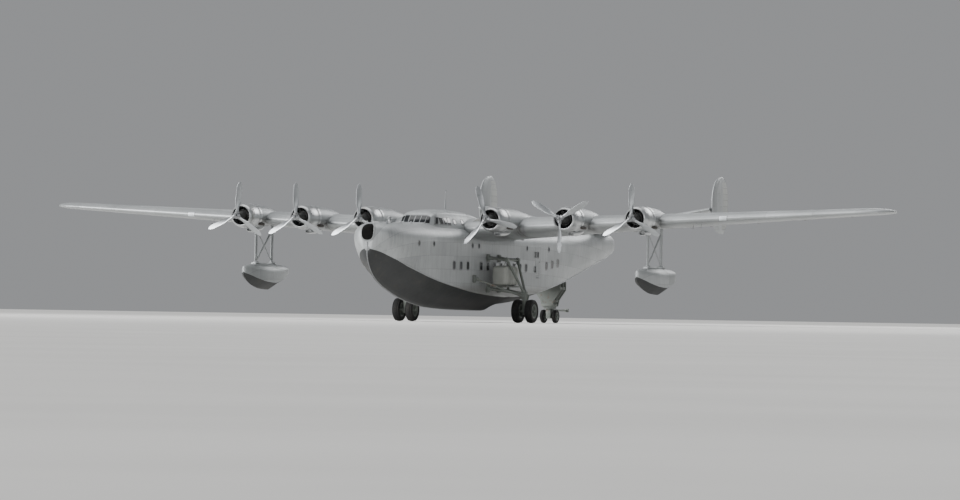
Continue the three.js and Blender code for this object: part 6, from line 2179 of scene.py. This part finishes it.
# %% Doorway lining, handle and hinges
middle = 0.5 * (sill + head)
wall = place(RECESS_DEPTH, front - 0.1, middle), place(RECESS_DEPTH, rear + 0.1, middle)
lining = [beam(*wall, 0.02, middle - sill + 0.1, 0.2)]
for t in (24.1, 24.42, 24.74):
    post = place(RECESS_DEPTH + 0.03, t, sill), place(RECESS_DEPTH + 0.03, t, head)
    lining.append(beam(*post, 0.025, 0.018, up=(1, 0, 0)))
make_piece("doorway_lining", lining, tank_paint, "airframe")
boss = [[0, 0], [0.05, 0], [0.05, 0.012], [0.02, 0.02], [0.02, 0.05], [0, 0.05]]
proud = offset(0.044, 0, 0)
handle_ends = hull_side(24.82, handle_z) + proud, hull_side(24.6, handle_z - 0.01) + proud
handle = [lathe(boss, hull_side(24.8, handle_z), (1, 0, 0), 24), beam(*handle_ends, 0.014, 0.018, 0.6)]
knuckles, lugs = [], []
axis_s = float(side_half_at(front)) + HINGE["proud"]
half_knuckle, half_lug = 0.5 * HINGE["knuckle"], 0.5 * HINGE["lug"]
for z in HINGE["heights"]:
    axis = place(axis_s, front, z)
    knuckles.append(lathe(pin(HINGE["radius"], -half_knuckle, half_knuckle), axis, (0, 0, 1), 20))
    arm = axis + offset(0, 0.024, 0), hull_side(24.12, z) + offset(0.012, 0, 0)
    knuckles.append(beam(*arm, 0.05, 0.014, 0.5, up=(1, 0, 0)))
    for sense in (-1, 1):
        lug_z = z + sense * (half_knuckle + 0.008 + half_lug)
        centre = place(axis_s, front, lug_z)
        lugs.append(lathe(pin(HINGE["radius"], -half_lug, half_lug), centre, (0, 0, 1), 20))
        web = centre + offset(-0.06, -0.002, 0), centre + offset(0, -0.002, 0)
        lugs.append(beam(*web, 0.03, half_lug, 0.4))
        leaf = hull_side(23.72, lug_z), hull_side(23.86, lug_z) + offset(0.016, 0, 0)
        lugs.append(beam(*leaf, half_lug, 0.01, 0.5, up=(1, 0, 0)))
make_piece("door_fittings", [ring, *inner_fittings, *handle, *knuckles], frame_metal, "passenger_door")
make_piece("door_hinge_lugs", lugs, frame_metal, "airframe")
step_s = float(side_half_at(24.4)) + np.array([-0.02, 0.1, 0.13, 0.13, 0.1, -0.02])
step = tube(place(step_s, [24.2, 24.2, 24.24, 24.6, 24.64, 24.64], 2.95), 0.016, 10)
make_piece("door_step", [step], steel_bright, "airframe")
print("hinges:", len(HINGE["heights"]))

# %% [markdown]
# Landing lamps lie behind glass in the wing's leading edge, and coloured lamps stand at its tips.

# %% Lamps
def wing_nose(s, z):
    """The leading edge at a span, where z runs from -1 under it to 1 above, as a share x of z squared."""
    x = 0.02 * np.asarray(z, float) ** 2
    side = np.sign(z) * wing_half(s, x)
    return wing_point(s, x, camber_at(x, WING["camber"]) + side)


def wing_below(x, s):
    """The lower skin with the share first, so that its normal points down."""
    return wing_under(s, x)


LAMP_SPAN = 18.2
for name, half, reach, lift, finish in (
    ("landing_lamps", 0.24, 0.95, 0.004, lamp_glass), ("landing_lamp_rims", 0.3, 1.1, 0.002, frame_metal),
):
    low, high = LAMP_SPAN - half, LAMP_SPAN + half
    corners = [(low, reach), (low, -reach), (high, -reach), (high, reach)]
    cover = patch_on(wing_nose, corners, lift, 0.006, (14, 8))
    make_piece(name, both_sides(cover), finish, "airframe")
bulb = [[0, -0.09], [0.03, -0.075], [0.042, -0.03], [0.042, 0.03], [0.03, 0.07], [0.012, 0.1], [0, 0.11]]
tip_lamp = lathe(bulb, wing_point(28.35, 0.16, 0.0), (0, 1, 0), 24)
make_piece("tip_lamp_port", [tip_lamp], red_glass, "airframe")
make_piece("tip_lamp_starboard", mirrored([tip_lamp]), green_glass, "airframe")
print("landing lamps at a span of", LAMP_SPAN, "real metres")

# %% [markdown]
# The small fittings of the wing are pressure heads, filler caps, inspection covers and hinge brackets. Covers
# and brackets keep clear of the engines.

# %% Wing fittings
fittings = []
for s in (16.2, 16.7):
    root = wing_under(s, 0.08)
    foot, head = root + offset(0, 0, 0.02), root + offset(0, -0.04, -0.26)
    fittings.append(tube(np.linspace(foot, head, 4), 0.035, 14, flatten=0.35, wide=(0, 1, 0)))
    tip = head + np.array([[0, y, 0] for y in (0.14, 0.04, -0.32, -0.48)]) * SCALE
    fittings.append(tube(tip, [0.012, 0.02, 0.02, 0.012], 14, wide=(1, 0, 0)))
cap_rows, cover_rows = lid(0.004, 0.02, 0.002, 0.004), lid(0.003, 0.01, 0.002, 0.004)
for s, x in ((3.1, 0.3), (6.7, 0.28), (11.2, 0.28), (16.4, 0.26), (20.0, 0.26)):
    fittings.append(plate_on(wing_top, (s, x), (0.1, 0.015), cap_rows, 2.0, 24, spread=(1.0, 0.15)))


def off_the_engines(s):
    """How far a span is from the nearest engine."""
    return min(abs(s - engine[0]) for engine in ENGINES)


covers = []
for s in np.arange(3.6, 26.5, 1.35):
    if off_the_engines(s) > 0.9:
        covers.append(plate_on(wing_below, (0.62, s), (0.022, 0.13), cover_rows, 2.6, 24, spread=(0.15, 1.0)))
make_piece("wing_covers", both_sides(covers), wing_skin, "airframe")
hinge_z = float(camber_at(WING["hinge"], WING["camber"]))
for s in np.concatenate([np.linspace(3.2, 13.6, 5), np.linspace(16.2, 25.6, 4)]):
    deep = float(wing_half(s, WING["hinge"]))
    if off_the_engines(s) >= 0.7:
        bracket = wing_point(s, 0.6, hinge_z - deep * 1.12), wing_point(s, 0.722, hinge_z - deep * 1.2)
        fittings.append(tube(np.linspace(*bracket, 5), [0.02, 0.05, 0.06, 0.055, 0.03], 12, flatten=0.6))
make_piece("wing_fittings", both_sides(fittings), frame_metal, "airframe")
print("inspection covers under one wing:", len(covers))

# %% [markdown]
# A lamp stands at the end of the tail, and trimming tabs are marked on the ailerons and elevators, each with
# its horn.

# %% Tail lamp and tabs
tail_lamp = lathe(
    [[0, 0], [0.035, 0.0], [0.04, 0.03], [0.03, 0.07], [0, 0.09]], place(0, 43.36, 5.35), (0, 1, 0), 20,
)
make_piece("tail_lamp", [tail_lamp], lamp_glass, "airframe")


def tail_top(s, x):
    """The tailplane's upper skin."""
    return tail_point(s, x, tail_half(s, x))


TABS = [
    # surface, its upper skin, first and last span, front edge as a share of the chord
    ("aileron", wing_top, 16.0, 20.0, 0.9),
    ("elevator", tail_top, 1.6, 4.2, 0.86),
]
for name, top, first, last, share in TABS:
    grids = patch_on(top, rectangle(first, last, share, share + 0.008), 0.003, 0.003, (20, 3))
    for end in (first, last):
        grids += patch_on(top, rectangle(end, end + 0.03, share, 0.99), 0.003, 0.003, (3, 10))
    mid_s, rise = 0.5 * (first + last), offset(0, 0, 0.06)
    foot, low, high = [top(mid_s, share + along) for along in (-0.12, -0.1, 0.02)]
    horn = np.array([foot, low + rise, high + rise, top(mid_s, share + 0.025)])
    grids.append(tube(horn, 0.012, 10, wide=(1, 0, 0)))
    make_pair(name + "_tab_{}", grids, frame_metal, name + "_{}")

# %% [markdown]
# The floor is a plain pale sheet that is far larger than the view, so that it meets the pale world at the
# horizon.

# %% Floor
FLOOR_HALF = 400.0
floor_mesh = bpy.data.meshes.new("studio_floor")
corners = [(x, y, 0) for x, y in rectangle(-FLOOR_HALF, FLOOR_HALF, -FLOOR_HALF, FLOOR_HALF)]
floor_mesh.from_pydata(corners, [], [(0, 1, 2, 3)])
floor = bpy.data.objects.new("studio_floor", floor_mesh)
bpy.context.scene.collection.objects.link(floor)
floor_paint, floor_shader = new_material("pale_floor_paint")
floor_place = add_node(floor_paint, "ShaderNodeTexCoord")
floor_clouds = add_node(
    floor_paint, "ShaderNodeTexNoise", {"Scale": 0.4, "Detail": 6.0},
    {"Vector": floor_place.outputs["Object"]},
)
floor_tone = set_stops(
    add_node(floor_paint, "ShaderNodeValToRGB", links={"Fac": floor_clouds.outputs["Fac"]}),
    [(0.3, linear("d6d5d2")), (0.7, linear("dfdedb"))],
)
floor_paint.node_tree.links.new(floor_tone.outputs["Color"], floor_shader.inputs["Base Color"])
floor_shader.inputs["Roughness"].default_value = 0.8
floor_mesh.materials.append(floor_paint)
print("floor, metres across:", 2 * FLOOR_HALF)
